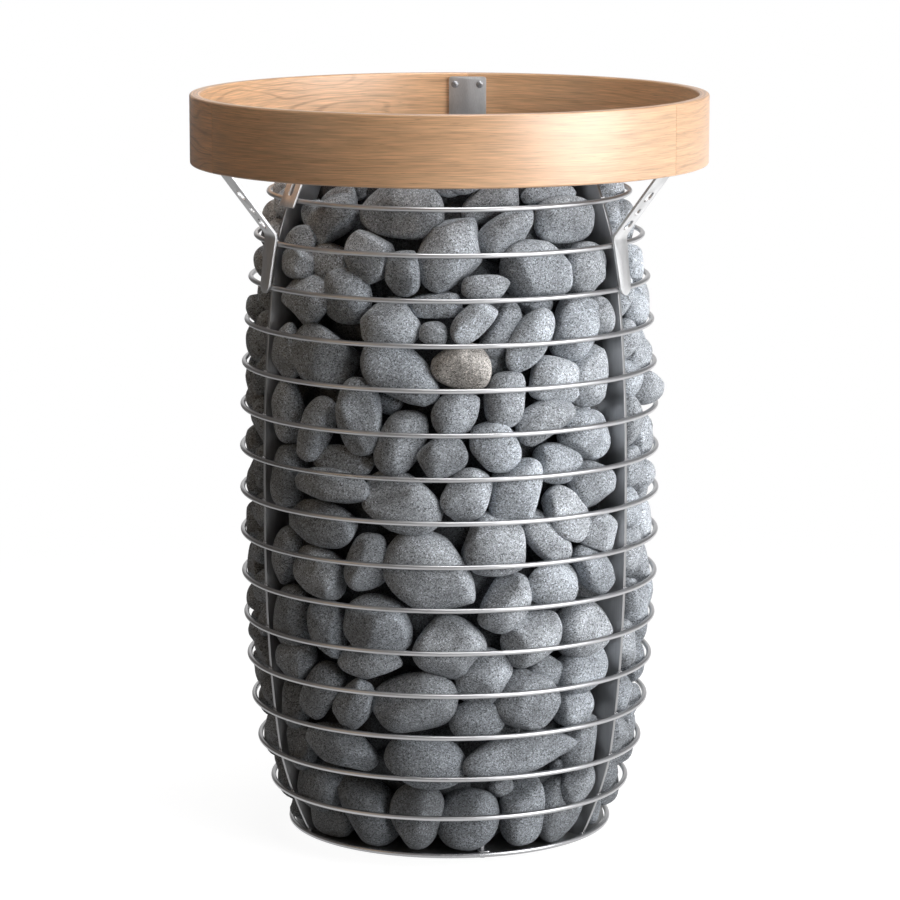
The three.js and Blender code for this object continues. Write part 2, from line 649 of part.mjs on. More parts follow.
function heatingElement() {
  const points = elementRoute();
  const circle = new THREE.EllipseCurve(0, 0, tubeRadius, tubeRadius);
  const section = new THREE.Shape(circle.getPoints(TUBE_SIDES).slice(0, TUBE_SIDES));
  return new THREE.ExtrudeGeometry(section, { steps: points.length - 1, extrudePath: new Route(points) });
}

const elementTube = heatingElement();
const elementAzimuth = (index) => RIB_AZIMUTHS[0] + 360 / ELEMENT_COUNT * (index + 0.5);
for (let index = 0; index < ELEMENT_COUNT; index += 1) {
  const element = addPiece(numbered('heating_element', index), elementTube, elementSteel);
  element.rotation.z = radians(elementAzimuth(index));
}

// Azimuths of the two tails of an element
const tailSpread = legStep * (ELEMENT_LEGS - 1) / 2;
const tailAzimuths = (index) => [elementAzimuth(index) - tailSpread, elementAzimuth(index) + tailSpread];
const tailBore = boreRadius(tubeRadius, PIN_SIDES);

// Terminal housing: a can open below, with a hole for each tail
function terminalHousing() {
  const inside = HOUSING_RADIUS - HOUSING_WALL;
  let solid = toSolid(turned([
    new THREE.Vector2(0, housingTop - HOUSING_WALL),
    new THREE.Vector2(inside, housingTop - HOUSING_WALL),
    new THREE.Vector2(inside, seatHeight),
    new THREE.Vector2(HOUSING_RADIUS, seatHeight),
    new THREE.Vector2(HOUSING_RADIUS, housingTop),
    new THREE.Vector2(0, housingTop),
  ], HOUSING_SEGMENTS));
  const hole = uprightBar(tailBore, housingTop - 2 * HOUSING_WALL, housingTop + HOUSING_WALL, PIN_SIDES);
  for (let index = 0; index < ELEMENT_COUNT; index += 1) {
    for (const azimuth of tailAzimuths(index)) {
      solid = solid.subtract(toSolid(atAzimuth(hole, azimuth, elementCircle)));
    }
  }
  return toGeometry(solid);
}

addPiece('terminal_housing', terminalHousing(), plateSteel);

// Terminal block: stepped porcelain bar on the base plate
function terminalBlock() {
  const half = BLOCK_WIDTH / 2;
  const step = half - BLOCK_SHOULDER_WIDTH;
  const shoulder = seatHeight + BLOCK_SHOULDER_HEIGHT;
  const top = seatHeight + BLOCK_HEIGHT;
  const outline = new THREE.Shape();
  outline.moveTo(-half, seatHeight);
  outline.lineTo(half, seatHeight);
  outline.lineTo(half, shoulder);
  outline.lineTo(step, shoulder);
  outline.lineTo(step, top);
  outline.lineTo(-step, top);
  outline.lineTo(-step, shoulder);
  outline.lineTo(-half, shoulder);
  outline.closePath();
  return standingPlate(outline, BLOCK_LENGTH);
}

addPiece('terminal_block', terminalBlock(), porcelain);

// Star bar: ring with a lug round the first tail of each element
function starBar() {
  const bottom = tailEnd + STAR_BAR_RISE;
  const inner = elementCircle - STAR_BAR_INSET;
  const outer = inner + STAR_BAR_WIDTH;
  const lugStart = outer - STAR_LUG_OVERLAP;
  const lugEnd = elementCircle + tubeRadius + STAR_LUG_WIDTH / 2;
  const outline = new THREE.Shape();
  outline.absarc(0, 0, outer, 0, 2 * Math.PI);
  const bore = new THREE.Path();
  bore.absarc(0, 0, inner, 0, 2 * Math.PI, true);
  outline.holes.push(bore);
  const lug = new THREE.BoxGeometry(lugEnd - lugStart, STAR_LUG_WIDTH, STAR_BAR_THICKNESS);
  lug.translate((lugEnd + lugStart) / 2, 0, bottom + STAR_BAR_THICKNESS / 2);
  const hole = uprightBar(tailBore, bottom - STAR_BAR_THICKNESS, bottom + 2 * STAR_BAR_THICKNESS, PIN_SIDES);
  let solid = toSolid(flatPlate(outline, bottom, STAR_BAR_THICKNESS));
  for (let index = 0; index < ELEMENT_COUNT; index += 1) {
    const [azimuth] = tailAzimuths(index);
    solid = solid.add(toSolid(atAzimuth(lug, azimuth)));
    solid = solid.subtract(toSolid(atAzimuth(hole, azimuth, elementCircle)));
  }
  return toGeometry(solid);
}

addPiece('star_bar', starBar(), brass);

// Grommet with a groove that grips the base plate
const grommet = turned([
  new THREE.Vector2(GROMMET_BORE / 2, FLOOR_CLEARANCE - FIT_GAP - GROMMET_LIP),
  new THREE.Vector2(GROMMET_FLANGE / 2, FLOOR_CLEARANCE - FIT_GAP - GROMMET_LIP),
  new THREE.Vector2(GROMMET_FLANGE / 2, FLOOR_CLEARANCE - FIT_GAP),
  new THREE.Vector2(GROMMET_NECK / 2, FLOOR_CLEARANCE - FIT_GAP),
  new THREE.Vector2(GROMMET_NECK / 2, seatHeight),
  new THREE.Vector2(GROMMET_FLANGE / 2, seatHeight),
  new THREE.Vector2(GROMMET_FLANGE / 2, seatHeight + GROMMET_LIP),
  new THREE.Vector2(GROMMET_BORE / 2, seatHeight + GROMMET_LIP),
  new THREE.Vector2(GROMMET_BORE / 2, FLOOR_CLEARANCE - FIT_GAP - GROMMET_LIP),
], PIN_SIDES);
addPiece('cord_grommet', atAzimuth(grommet, GROMMET_AZIMUTH, grommetPlace), silicone);

// Stones of one bay in one tier: staggered rows of pebbles, joined where they touch
const bayAngle = 360 / RIB_AZIMUTHS.length;
const halfPlaces = 2 * STONES_PER_ROW;
const rowsPerTier = STONE_ROWS / STONE_TIERS.length;
const ribFace = RIB_THICKNESS / 2 + FIT_GAP;
const stoneHollow = HOUSING_RADIUS + STONE_HOLLOW_MARGIN;

// Point of a bay by its share across the bay, clear of both ribs
function bayPoint(bay, share, radius, z) {
  const margin = Math.asin(ribFace / radius);
  const azimuth = radians(RIB_AZIMUTHS[bay]) + margin + share * (radians(bayAngle) - 2 * margin);
  return new THREE.Vector3(radius * Math.cos(azimuth), radius * Math.sin(azimuth), z);
}

// Share across the bay and height of a seam's corner on a row line
function seamCorner(bay, line, place) {
  const atEnd = line === 0 || line === STONE_ROWS;
  const down = (place + line) % 2 === 1;
  const stagger = atEnd ? 0 : STONE_STAGGER * (down ? -1 : 1);
  const drift = atEnd ? 0 : STONE_UNEVENNESS * (uneven(bay, line, place) - 0.5);
  const free = place > 0 && place < halfPlaces;
  const slip = free ? STONE_SLIP * (uneven(line, place, bay) - 0.5) : 0;
  return { share: (place + slip) / halfPlaces, z: seatHeight + rowHeight * line + stagger + drift };
}

function stoneBay(bay, tier) {
  const firstLine = tier * rowsPerTier;
  const lastLine = firstLine + rowsPerTier;
  const vertices = [];
  const corners = [];
  const add = (point) => vertices.push(point) - 1;
  const triangle = (a, b, c) => corners.push(a, b, c);
  const lift = (line) => (line === firstLine && tier > 0 ? FIT_GAP : 0);
  const seam = [];
  for (let line = firstLine; line <= lastLine; line += 1) {
    seam[line] = [];
    for (let place = 0; place <= halfPlaces; place += 1) {
      const corner = seamCorner(bay, line, place);
      const radius = cageInside(corner.z) - STONE_SEAM_DEPTH;
      seam[line][place] = add(bayPoint(bay, corner.share, radius, corner.z + lift(line)));
    }
  }

  // One stone: seam all round, shoulder, and the top of its crown
  const addStone = (line, left, right) => {
    const edge = [];
    for (let place = left; place <= right; place += 1) {
      edge.push({ index: seam[line][place], ...seamCorner(bay, line, place) });
    }
    for (let place = right; place >= left; place -= 1) {
      edge.push({ index: seam[line + 1][place], ...seamCorner(bay, line + 1, place) });
    }
    const middle = {
      share: edge.reduce((sum, corner) => sum + corner.share, 0) / edge.length,
      z: edge.reduce((sum, corner) => sum + corner.z, 0) / edge.length,
    };
    const crown = rodFacetDip + STONE_CROWN_UNEVENNESS * uneven(bay, line, left);
    const peak = add(bayPoint(bay, middle.share, cageInside(middle.z) - crown, middle.z));
    const shoulder = edge.map((corner, index) => {
      const share = middle.share + STONE_CROWN_SHARE * (corner.share - middle.share);
      const z = middle.z + STONE_CROWN_SHARE * (corner.z - middle.z);
      const depth = STONE_SHOULDER_DEPTH + STONE_UNEVENNESS * uneven(bay, line, left, index);
      return add(bayPoint(bay, share, cageInside(z) - depth, z));
    });
    edge.forEach((corner, index) => {
      const next = (index + 1) % edge.length;
      triangle(corner.index, edge[next].index, shoulder[index]);
      triangle(edge[next].index, shoulder[next], shoulder[index]);
      triangle(shoulder[index], shoulder[next], peak);
    });
  };
  for (let line = firstLine; line < lastLine; line += 1) {
    const starts = line % 2 === 0 ? [0] : [0, 1];
    for (let place = starts.at(-1) + 2; place < halfPlaces; place += 2) {
      starts.push(place);
    }
    starts.forEach((left, index) => addStone(line, left, starts[index + 1] ?? halfPlaces));
  }

  // Hollow side, and the faces below, above and along the ribs
  const hollow = [firstLine, lastLine].map((line) => {
    const z = seatHeight + rowHeight * line + lift(line);
    const radius = stoneHollow / Math.cos(radians(bayAngle) / HOLLOW_SEGMENTS / 2);
    return Array.from({ length: HOLLOW_SEGMENTS + 1 }, (_, step) => (
      add(bayPoint(bay, step / HOLLOW_SEGMENTS, radius, z))
    ));
  });
  for (let step = 0; step < HOLLOW_SEGMENTS; step += 1) {
    triangle(hollow[0][step], hollow[1][step + 1], hollow[0][step + 1]);
    triangle(hollow[0][step], hollow[1][step], hollow[1][step + 1]);
  }
  const closeFace = (outer, inner, faceTriangle) => {
    let step = 0;
    for (let place = 0; place < halfPlaces; place += 1) {
      faceTriangle(outer[place], inner[step], outer[place + 1]);
      while ((step + 1) * halfPlaces <= (place + 1) * HOLLOW_SEGMENTS) {
        faceTriangle(outer[place + 1], inner[step], inner[step + 1]);
        step += 1;
      }
    }
  };
  closeFace(seam[firstLine], hollow[0], triangle);
  closeFace(seam[lastLine], hollow[1], (a, b, c) => triangle(a, c, b));
  for (let line = firstLine; line < lastLine; line += 1) {
    triangle(hollow[0][0], seam[line][0], seam[line + 1][0]);
    triangle(hollow[0].at(-1), seam[line + 1].at(-1), seam[line].at(-1));
  }
  triangle(hollow[0][0], seam[lastLine][0], hollow[1][0]);
  triangle(hollow[0].at(-1), hollow[1].at(-1), seam[lastLine].at(-1));

  const geometry = new THREE.BufferGeometry().setFromPoints(vertices);
  geometry.setIndex(corners);
  geometry.computeVertexNormals();
  return geometry;
}

// Lowest stones make room for the weld nuts, studs and lugs on the base
function cutForBase(geometry) {
  const nutRoom = uprightBar(WELD_NUT_WIDTH / 2 + FIT_GAP, 0, studTop + FIT_GAP, 6);
  const around = 2 * FIT_GAP;
  const lugRoom = new THREE.BoxGeometry(LUG_LENGTH + around, LUG_WIDTH + around, 2 * screwTip + around);
  let solid = toSolid(geometry);
  for (const azimuth of RIB_AZIMUTHS) {
    solid = solid.subtract(toSolid(atAzimuth(nutRoom, azimuth, footRadius)));
  }
  for (const azimuth of LUG_AZIMUTHS) {
    solid = solid.subtract(toSolid(atAzimuth(lugRoom, azimuth, (lugInner + lugOuter) / 2)));
  }
  return toGeometry(solid);
}

const bayNames = ['left', 'front', 'right'];
bayNames.forEach((bayName, bay) => {
  STONE_TIERS.forEach((tierName, tier) => {
    const pile = stoneBay(bay, tier);
    addPiece(`stones_${bayName}_${tierName}`, tier === 0 ? cutForBase(pile) : pile, stone);
  });
});

// Stones inside the circle of elements, one on another
function coreStones() {
  const bottom = housingTop + FIT_GAP;
  const radius = elementCircle - tubeRadius - CORE_MARGIN;
  const waist = radius - CORE_DIP;
  const pitch = (crownBottom - FIT_GAP - bottom) / CORE_STONES;
  const profile = [new THREE.Vector2(0, bottom)];
  for (let index = 0; index < CORE_STONES; index += 1) {
    profile.push(new THREE.Vector2(waist, bottom + pitch * index));
    profile.push(new THREE.Vector2(radius, bottom + pitch * (index + 0.5)));
  }
  profile.push(new THREE.Vector2(waist, bottom + pitch * CORE_STONES));
  profile.push(new THREE.Vector2(0, bottom + pitch * CORE_STONES));
  return turned(profile, CORE_SIDES);
}

addPiece('stones_core', coreStones(), stone);

// Stones heaped on top, inside the top ring, with room for the tops of the ribs
const backing = cageInside(ribTop) - RIB_WIDTH - 2 * FIT_GAP;
const crownRings = [
  {
    radius: backing - CROWN_OUTER_INSET,
    stones: CROWN_OUTER_STONES,
    size: CROWN_OUTER_SIZE,
    rise: CROWN_OUTER_RISE,
  },
  {
    radius: backing * CROWN_INNER_SHARE,
    stones: CROWN_INNER_STONES,
    size: CROWN_INNER_SIZE,
    rise: CROWN_INNER_RISE,
  },
];

function stoneCrown() {
  const ribRoom = new THREE.BoxGeometry(endRadius - backing, 2 * ribFace, 2 * railingTop);
  let solid = toSolid(uprightBar(backing, crownBottom, crownBottom + CROWN_BACKING, CROWN_BACKING_SIDES));
  crownRings.forEach(({ radius, stones, size, rise }, row) => {
    for (let place = 0; place < stones; place += 1) {
      const pebble = new THREE.IcosahedronGeometry(1).rotateX(uneven(row, place));
      const length = size * (1 - CROWN_SIZE_SPREAD * uneven(place, row));
      const width = size * (1 - CROWN_SIZE_SPREAD * uneven(row, place, stones));
      pebble.scale(length, width, rise);
      pebble.translate(0, 0, crownBottom + CROWN_BACKING);
      const azimuth = RIB_AZIMUTHS[0] + 360 / stones * (place + 0.5);
      solid = solid.add(toSolid(atAzimuth(pebble, azimuth, radius)));
    }
  });
  for (const azimuth of RIB_AZIMUTHS) {
    solid = solid.subtract(toSolid(atAzimuth(ribRoom, azimuth, (endRadius + backing) / 2)));
  }
  const room = turned([
    new THREE.Vector2(0, crownBottom),
    new THREE.Vector2(endRadius, crownBottom),
    new THREE.Vector2(endRadius - rodRadius - FIT_GAP, ringHeight(topRing)),
    new THREE.Vector2(0, railingTop),
  ], RING_SEGMENTS);
  return toGeometry(solid.intersect(toSolid(room)));
}

addPiece('stones_top', stoneCrown(), stone);

export default heater;
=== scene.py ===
"""Studio picture of an electric sauna heater: a barrel cage of steel rod filled with stones, with a
bent-wood safety railing on three steel brackets. Everything is in metres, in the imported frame."""
import math

import bmesh
import bpy
import numpy as np
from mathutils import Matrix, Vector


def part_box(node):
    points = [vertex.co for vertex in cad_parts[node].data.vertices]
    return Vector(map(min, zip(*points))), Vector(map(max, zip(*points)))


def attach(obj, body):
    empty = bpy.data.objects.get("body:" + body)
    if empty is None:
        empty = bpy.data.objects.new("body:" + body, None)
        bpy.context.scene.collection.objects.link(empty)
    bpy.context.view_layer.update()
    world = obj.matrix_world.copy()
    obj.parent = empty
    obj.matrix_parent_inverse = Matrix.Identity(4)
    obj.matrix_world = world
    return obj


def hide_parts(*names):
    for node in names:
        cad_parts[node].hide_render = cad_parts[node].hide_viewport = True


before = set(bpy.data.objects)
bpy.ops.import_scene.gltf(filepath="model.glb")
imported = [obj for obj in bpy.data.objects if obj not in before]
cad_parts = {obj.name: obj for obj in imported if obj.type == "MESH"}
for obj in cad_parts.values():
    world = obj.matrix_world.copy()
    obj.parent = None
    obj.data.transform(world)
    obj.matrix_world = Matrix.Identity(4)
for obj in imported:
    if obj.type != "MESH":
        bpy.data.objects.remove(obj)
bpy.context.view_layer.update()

# Camera: stands a little to the right of the heater's front and above the railing, far off with a
# long lens, so that the rings show as flat ovals and the far wall of the railing is seen over its front.
PHOTO_WIDTH = 900
FOCAL_PIXELS = 3844.8
AXIS_PIXEL_X = 449.4
AXIS_PIXEL_Y = 450.0
SENSOR_WIDTH = 36.0
CAMERA_DISTANCE = 3.7555
CAMERA_HEIGHT = 1.0486
CAMERA_SWING = math.radians(2.5)
CAMERA_DIP = math.radians(10.016)

scene = bpy.context.scene
scene.view_settings.view_transform = "Standard"
lens = bpy.data.cameras.new("camera")
lens.sensor_width = SENSOR_WIDTH
lens.lens = FOCAL_PIXELS / PHOTO_WIDTH * SENSOR_WIDTH
lens.shift_x = (PHOTO_WIDTH / 2 - AXIS_PIXEL_X) / PHOTO_WIDTH
camera = bpy.data.objects.new("camera", lens)
camera.location = (
    CAMERA_DISTANCE * math.sin(CAMERA_SWING),
    -CAMERA_DISTANCE * math.cos(CAMERA_SWING),
    CAMERA_HEIGHT,
)
camera.rotation_euler = (math.pi / 2 - CAMERA_DIP, 0, CAMERA_SWING)
scene.collection.objects.link(camera)
scene.camera = camera

# Studio: a pale floor that fades into white, one large soft lamp on the right, a weak warm one on the
# left and a soft one overhead. The walls are white to the lens and dimmer on the left in the metal.
FLOOR_HALF = 9.0
FLOOR_FADE_START = 0.5
FLOOR_FADE_END = 1.6
FLOOR_COLOUR = (0.22, 0.22, 0.22, 1)
FLOOR_GLOW = 0.92
FLOOR_GLEAM_LEFT = 0.12
FLOOR_GLEAM_RIGHT = 1.15
FLOOR_GLEAM_FROM = -2.5
FLOOR_GLEAM_TO = 0.6
WALL_FILL = 0.014
WALL_FILL_BEHIND = 0.45
WALL_GLEAM_LEFT = (0.11, 0.092, 0.078, 1)
WALL_GLEAM_RIGHT = (0.66, 0.66, 0.675, 1)
WALL_GLEAM_BEHIND = 0.55
WALL_GLEAM_BACK = (1, 1, 1, 1)
LAMPS = {
    "key_lamp": {
        "place": (2.16, -1.44, 1.15), "aim": (0, 0, 0.5), "size": 2.4, "beam": 180,
        "watts": 80, "colour": (0.98, 0.99, 1), "gloss": True,
    },
    "side_lamp": {
        "place": (2.45, 0.1, 0.5), "aim": (0.2, 0, 0.42), "size": 1.6, "beam": 40,
        "watts": 4.5, "colour": (1, 1, 1), "gloss": False,
    },
    "fill_lamp": {
        "place": (-2.3, -1.6, 1.3), "aim": (0, 0, 0.4), "size": 1.8, "beam": 180,
        "watts": 4.2, "colour": (1, 0.71, 0.42), "gloss": True,
    },
    "railing_lamp": {
        "place": (-2.4, -1.5, 1.0), "aim": (-0.2, -0.12, 0.78), "size": 0.4, "beam": 14,
        "watts": 0.05, "colour": (1, 0.86, 0.66), "gloss": False,
    },
    "top_lamp": {
        "place": (0.3, -0.5, 2.9), "aim": (0, 0, 0.4), "size": 1.6, "beam": 180,
        "watts": 38, "colour": (1, 1, 1), "gloss": True,
    },
}


def put(tree, socket, value):
    """Links a socket to the input, or sets a plain value on it."""
    if isinstance(value, bpy.types.NodeSocket):
        tree.links.new(value, socket)
    else:
        socket.default_value = value


def add_node(tree, kind, values=(), **settings):
    """Adds a node, with its settings and with values by the names of its inputs."""
    made = tree.nodes.new("ShaderNode" + kind)
    for name, setting in settings.items():
        setattr(made, name, setting)
    for name, value in dict(values).items():
        put(tree, made.inputs[name], value)
    return made


def calculate(tree, operation, *values):
    """Math node on sockets or numbers."""
    made = add_node(tree, "Math", operation=operation)
    for socket, value in zip(made.inputs, values):
        put(tree, socket, value)
    return made.outputs[0]


def spread(tree, value, low, high, start, end, smooth=False):
    """Maps a value between low and high to one between start and end."""
    made = add_node(tree, "MapRange", {"From Min": low, "From Max": high, "To Min": start, "To Max": end})
    put(tree, made.inputs["Value"], value)
    if smooth:
        made.interpolation_type = "SMOOTHSTEP"
    return made.outputs[0]


def blend(tree, share, first, second):
    """Mixes two colours by a share."""
    made = add_node(tree, "Mix", {"Factor": share}, data_type="RGBA")
    put(tree, made.inputs[6], first)
    put(tree, made.inputs[7], second)
    return made.outputs[2]


world = bpy.data.worlds.new("studio")
world.use_nodes = True
scene.world = world
tree = world.node_tree
rays = add_node(tree, "LightPath")
towards = add_node(tree, "SeparateXYZ", {"Vector": add_node(tree, "TexCoord").outputs["Generated"]})
gleam = blend(tree, spread(tree, towards.outputs["X"], -1.0, 1.0, 0, 1), WALL_GLEAM_LEFT, WALL_GLEAM_RIGHT)
dim = add_node(tree, "VectorMath", operation="SCALE")
put(tree, dim.inputs[0], gleam)
put(tree, dim.inputs["Scale"], spread(tree, towards.outputs["Y"], 0.0, 0.5, 1.0, WALL_GLEAM_BEHIND))
gleam = dim.outputs[0]
gleam = blend(tree, spread(tree, towards.outputs["Y"], 0.88, 0.98, 0, 1), gleam, WALL_GLEAM_BACK)
shade = blend(tree, rays.outputs["Is Glossy Ray"], (1, 1, 1, 1), gleam)
seen = calculate(tree, "MAXIMUM", rays.outputs["Is Camera Ray"], rays.outputs["Is Transmission Ray"])
seen = calculate(tree, "MAXIMUM", seen, rays.outputs["Is Glossy Ray"])
put(tree, tree.nodes["Background"].inputs["Color"], shade)
wall_fill = spread(tree, towards.outputs["Y"], 0.0, 0.7, WALL_FILL, WALL_FILL_BEHIND)
put(tree, tree.nodes["Background"].inputs["Strength"], calculate(tree, "MAXIMUM", seen, wall_fill))

floor_mesh = bpy.data.meshes.new("floor")
floor_mesh.from_pydata(
    [(x * FLOOR_HALF, y * FLOOR_HALF, 0) for x, y in ((-1, -1), (1, -1), (1, 1), (-1, 1))],
    [],
    [(0, 1, 2, 3)],
)
floor = bpy.data.objects.new("floor", floor_mesh)
scene.collection.objects.link(floor)
floor_paint = bpy.data.materials.new("floor_paint")
floor_paint.use_nodes = True
floor_mesh.materials.append(floor_paint)
tree = floor_paint.node_tree
tree.nodes.remove(tree.nodes["Principled BSDF"])
rays = add_node(tree, "LightPath")
here = add_node(tree, "TexCoord").outputs["Object"]
side = add_node(tree, "SeparateXYZ", {"Vector": here}).outputs["X"]
gleam = spread(tree, side, FLOOR_GLEAM_FROM, FLOOR_GLEAM_TO, 0, 1)
gleam = spread(tree, calculate(tree, "POWER", gleam, 2.0), 0, 1, FLOOR_GLEAM_LEFT, FLOOR_GLEAM_RIGHT)
gleam = calculate(tree, "MULTIPLY", rays.outputs["Is Glossy Ray"], gleam)
shown = calculate(tree, "MAXIMUM", rays.outputs["Is Camera Ray"], gleam)
matt = add_node(tree, "BsdfDiffuse", {"Color": FLOOR_COLOUR})
glow = add_node(tree, "Emission", {"Strength": calculate(tree, "MULTIPLY", shown, FLOOR_GLOW)})
lit = add_node(tree, "AddShader")
put(tree, lit.inputs[0], matt.outputs[0])
put(tree, lit.inputs[1], glow.outputs[0])
white = add_node(tree, "Emission", {"Strength": shown})
away = add_node(tree, "VectorMath", operation="LENGTH")
put(tree, away.inputs[0], here)
fade = spread(tree, away.outputs["Value"], FLOOR_FADE_START, FLOOR_FADE_END, 0, 1, smooth=True)
faded = add_node(tree, "MixShader", {"Fac": fade})
put(tree, faded.inputs[1], lit.outputs[0])
put(tree, faded.inputs[2], white.outputs[0])
put(tree, tree.nodes["Material Output"].inputs["Surface"], faded.outputs[0])

for name, lamp in LAMPS.items():
    light = bpy.data.lights.new(name, "AREA")
    light.shape = "DISK"
    light.size = lamp["size"]
    light.energy = lamp["watts"]
    light.spread = math.radians(lamp["beam"])
    light.color = lamp["colour"]
    holder = bpy.data.objects.new(name, light)
    holder.location = lamp["place"]
    holder.visible_glossy = lamp["gloss"]
    aim = holder.location.copy()
    aim.negate()
    for axis in range(3):
        aim[axis] += lamp["aim"][axis]
    holder.rotation_euler = aim.to_track_quat("-Z", "Y").to_euler()
    scene.collection.objects.link(holder)

# Base plate: a steel disc, laser-cut, with weld nuts for the feet, held up under the bottom ring by
# three screws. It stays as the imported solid, with a rolled-steel finish.
ROLLED_TINT = (0.40, 0.40, 0.40, 1)
SCREW_TINT = (0.40, 0.40, 0.41, 1)


def steel_grain():
    """Grain of rolled or drawn steel: fine streaks, faint clouds and a height for the bump."""
    group = bpy.data.node_groups.new("steel_grain", "ShaderNodeTree")
    for name, kind in (("Place", "Vector"), ("Tint", "Color"), ("Bright", "Float"), ("Dull", "Float")):
        group.interface.new_socket(name, in_out="INPUT", socket_type="NodeSocket" + kind)
    for name, kind in (("Colour", "Color"), ("Roughness", "Float"), ("Height", "Float")):
        group.interface.new_socket(name, in_out="OUTPUT", socket_type="NodeSocket" + kind)
    given = group.nodes.new("NodeGroupInput").outputs
    result = group.nodes.new("NodeGroupOutput").inputs
    streaks = add_node(group, "TexNoise", {"Vector": given["Place"], "Scale": 1.0, "Detail": 4.0})
    clouds = add_node(group, "TexNoise", {"Vector": given["Place"], "Scale": 0.06, "Detail": 2.0})
    shade = spread(group, clouds.outputs["Fac"], 0.3, 0.7, 0.82, 1.1)
    shade = calculate(group, "MULTIPLY", shade, spread(group, streaks.outputs["Fac"], 0.3, 0.7, 0.93, 1.05))
    tinted = add_node(group, "VectorMath", operation="SCALE")
    put(group, tinted.inputs[0], given["Tint"])
    put(group, tinted.inputs["Scale"], shade)
    put(group, result["Colour"], tinted.outputs[0])
    mixed = calculate(group, "ADD", streaks.outputs["Fac"], clouds.outputs["Fac"])
    rough = add_node(group, "MapRange", {"Value": mixed, "From Min": 0.7, "From Max": 1.3})
    put(group, rough.inputs["To Min"], given["Bright"])
    put(group, rough.inputs["To Max"], given["Dull"])
    put(group, result["Roughness"], rough.outputs[0])
    put(group, result["Height"], streaks.outputs["Fac"])
    return group


STEEL_GRAIN = steel_grain()


def bump_to(tree, shader, height, depth, strength=1.0):
    """Bump of a height, with its depth in metres, on a shader."""
    bump = add_node(tree, "Bump", {"Strength": strength, "Distance": depth, "Height": height})
    put(tree, shader.inputs["Normal"], bump.outputs["Normal"])


def steel(name, tint, bright, dull, grain, depth):
    """Steel with its streaks along the axis that has the smallest grain number, in lines to a metre."""
    made = bpy.data.materials.new(name)
    made.use_nodes = True
    tree = made.node_tree
    shader = tree.nodes["Principled BSDF"]
    place = add_node(tree, "Mapping", {"Scale": grain})
    put(tree, place.inputs["Vector"], add_node(tree, "TexCoord").outputs["Object"])
    finish = add_node(tree, "Group", node_tree=STEEL_GRAIN)
    for socket, value in (("Place", place.outputs[0]), ("Tint", tint), ("Bright", bright), ("Dull", dull)):
        put(tree, finish.inputs[socket], value)
    put(tree, shader.inputs["Metallic"], 1.0)
    put(tree, shader.inputs["Base Color"], finish.outputs["Colour"])
    put(tree, shader.inputs["Roughness"], finish.outputs["Roughness"])
    bump_to(tree, shader, finish.outputs["Height"], depth)
    return made


def dress(node, material):
    """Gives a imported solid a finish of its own."""
    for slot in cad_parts[node].material_slots:
        slot.link = "OBJECT"
        slot.material = material


rolled_steel = steel("rolled_steel", ROLLED_TINT, 0.32, 0.5, (60, 900, 900), 0.00004)
screw_steel = steel("screw_steel", SCREW_TINT, 0.42, 0.56, (1500, 1500, 1500), 0.00002)
dress("base_plate", rolled_steel)
for number in (1, 2, 3):
    dress(f"base_screw_{number:02d}", screw_steel)

# Levelling feet: turned steel pads on threaded studs, one under each rib, screwed into the weld nuts.
# The thread is cut on the stud, so it shows between the pad and the plate when the foot is let down.
FOOT_BODIES = {"levelling_foot_01": "foot_back", "levelling_foot_02": "foot_left", "levelling_foot_03": "foot_right"}
PAD_PROFILE = ((0.0, 0.0), (0.0125, 0.0), (0.0142, 0.0006), (0.0148, 0.002), (0.0148, 0.0036), (0.014, 0.0046))
PAD_SHOULDER = ((0.0078, 0.0058), (0.0055, 0.006))
STUD_RADIUS = 0.004
THREAD_PITCH = 0.00125
THREAD_DEPTH = 0.0006
FOOT_SIDES = 40


def loft(sections, closed=False):
    """Mesh data through equal sections of points; the ends are capped unless the last joins the first."""
    count, sides = sections.shape[:2]
    faces = []
    for step in range(count if closed else count - 1):
        here = step * sides
        there = (step + 1) % count * sides
        for side in range(sides):
            beside = (side + 1) % sides
            faces.append((here + side, here + beside, there + beside, there + side))
    if not closed:
        faces.append(tuple(range(sides))[::-1])
        faces.append(tuple(range((count - 1) * sides, count * sides)))
    return sections.reshape(-1, 3), faces


def turned(profile, sides):
    """Sections of a turned piece on the Z axis, from points of radius and height."""
    angles = np.linspace(0, 2 * np.pi, sides, endpoint=False)
    rings = []
    for radius, height in profile:
        reach = max(radius, 1e-5)
        rings.append(np.stack([reach * np.cos(angles), reach * np.sin(angles), np.full(sides, height)], axis=1))
    return np.array(rings)


def mesh_of(name, points, faces, sharp=None):
    """Smooth mesh, with the edges sharper than an angle left crisp."""
    made = bpy.data.meshes.new(name)
    made.from_pydata([tuple(point) for point in points], [], faces)
    made.validate()
    work = bmesh.new()
    work.from_mesh(made)
    bmesh.ops.recalc_face_normals(work, faces=work.faces[:])
    work.to_mesh(made)
    work.free()
    made.shade_smooth()
    if sharp is not None:
        made.set_sharp_from_angle(angle=math.radians(sharp))
    return made


def fit(name, mesh, material, body, slot, *nodes):
    """Puts a piece in the scene on its body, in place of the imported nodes."""
    piece = bpy.data.objects.new(name, mesh)
    scene.collection.objects.link(piece)
    if material.name not in mesh.materials:
        mesh.materials.append(material)
    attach(piece, body)
    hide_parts(*nodes)
    return piece


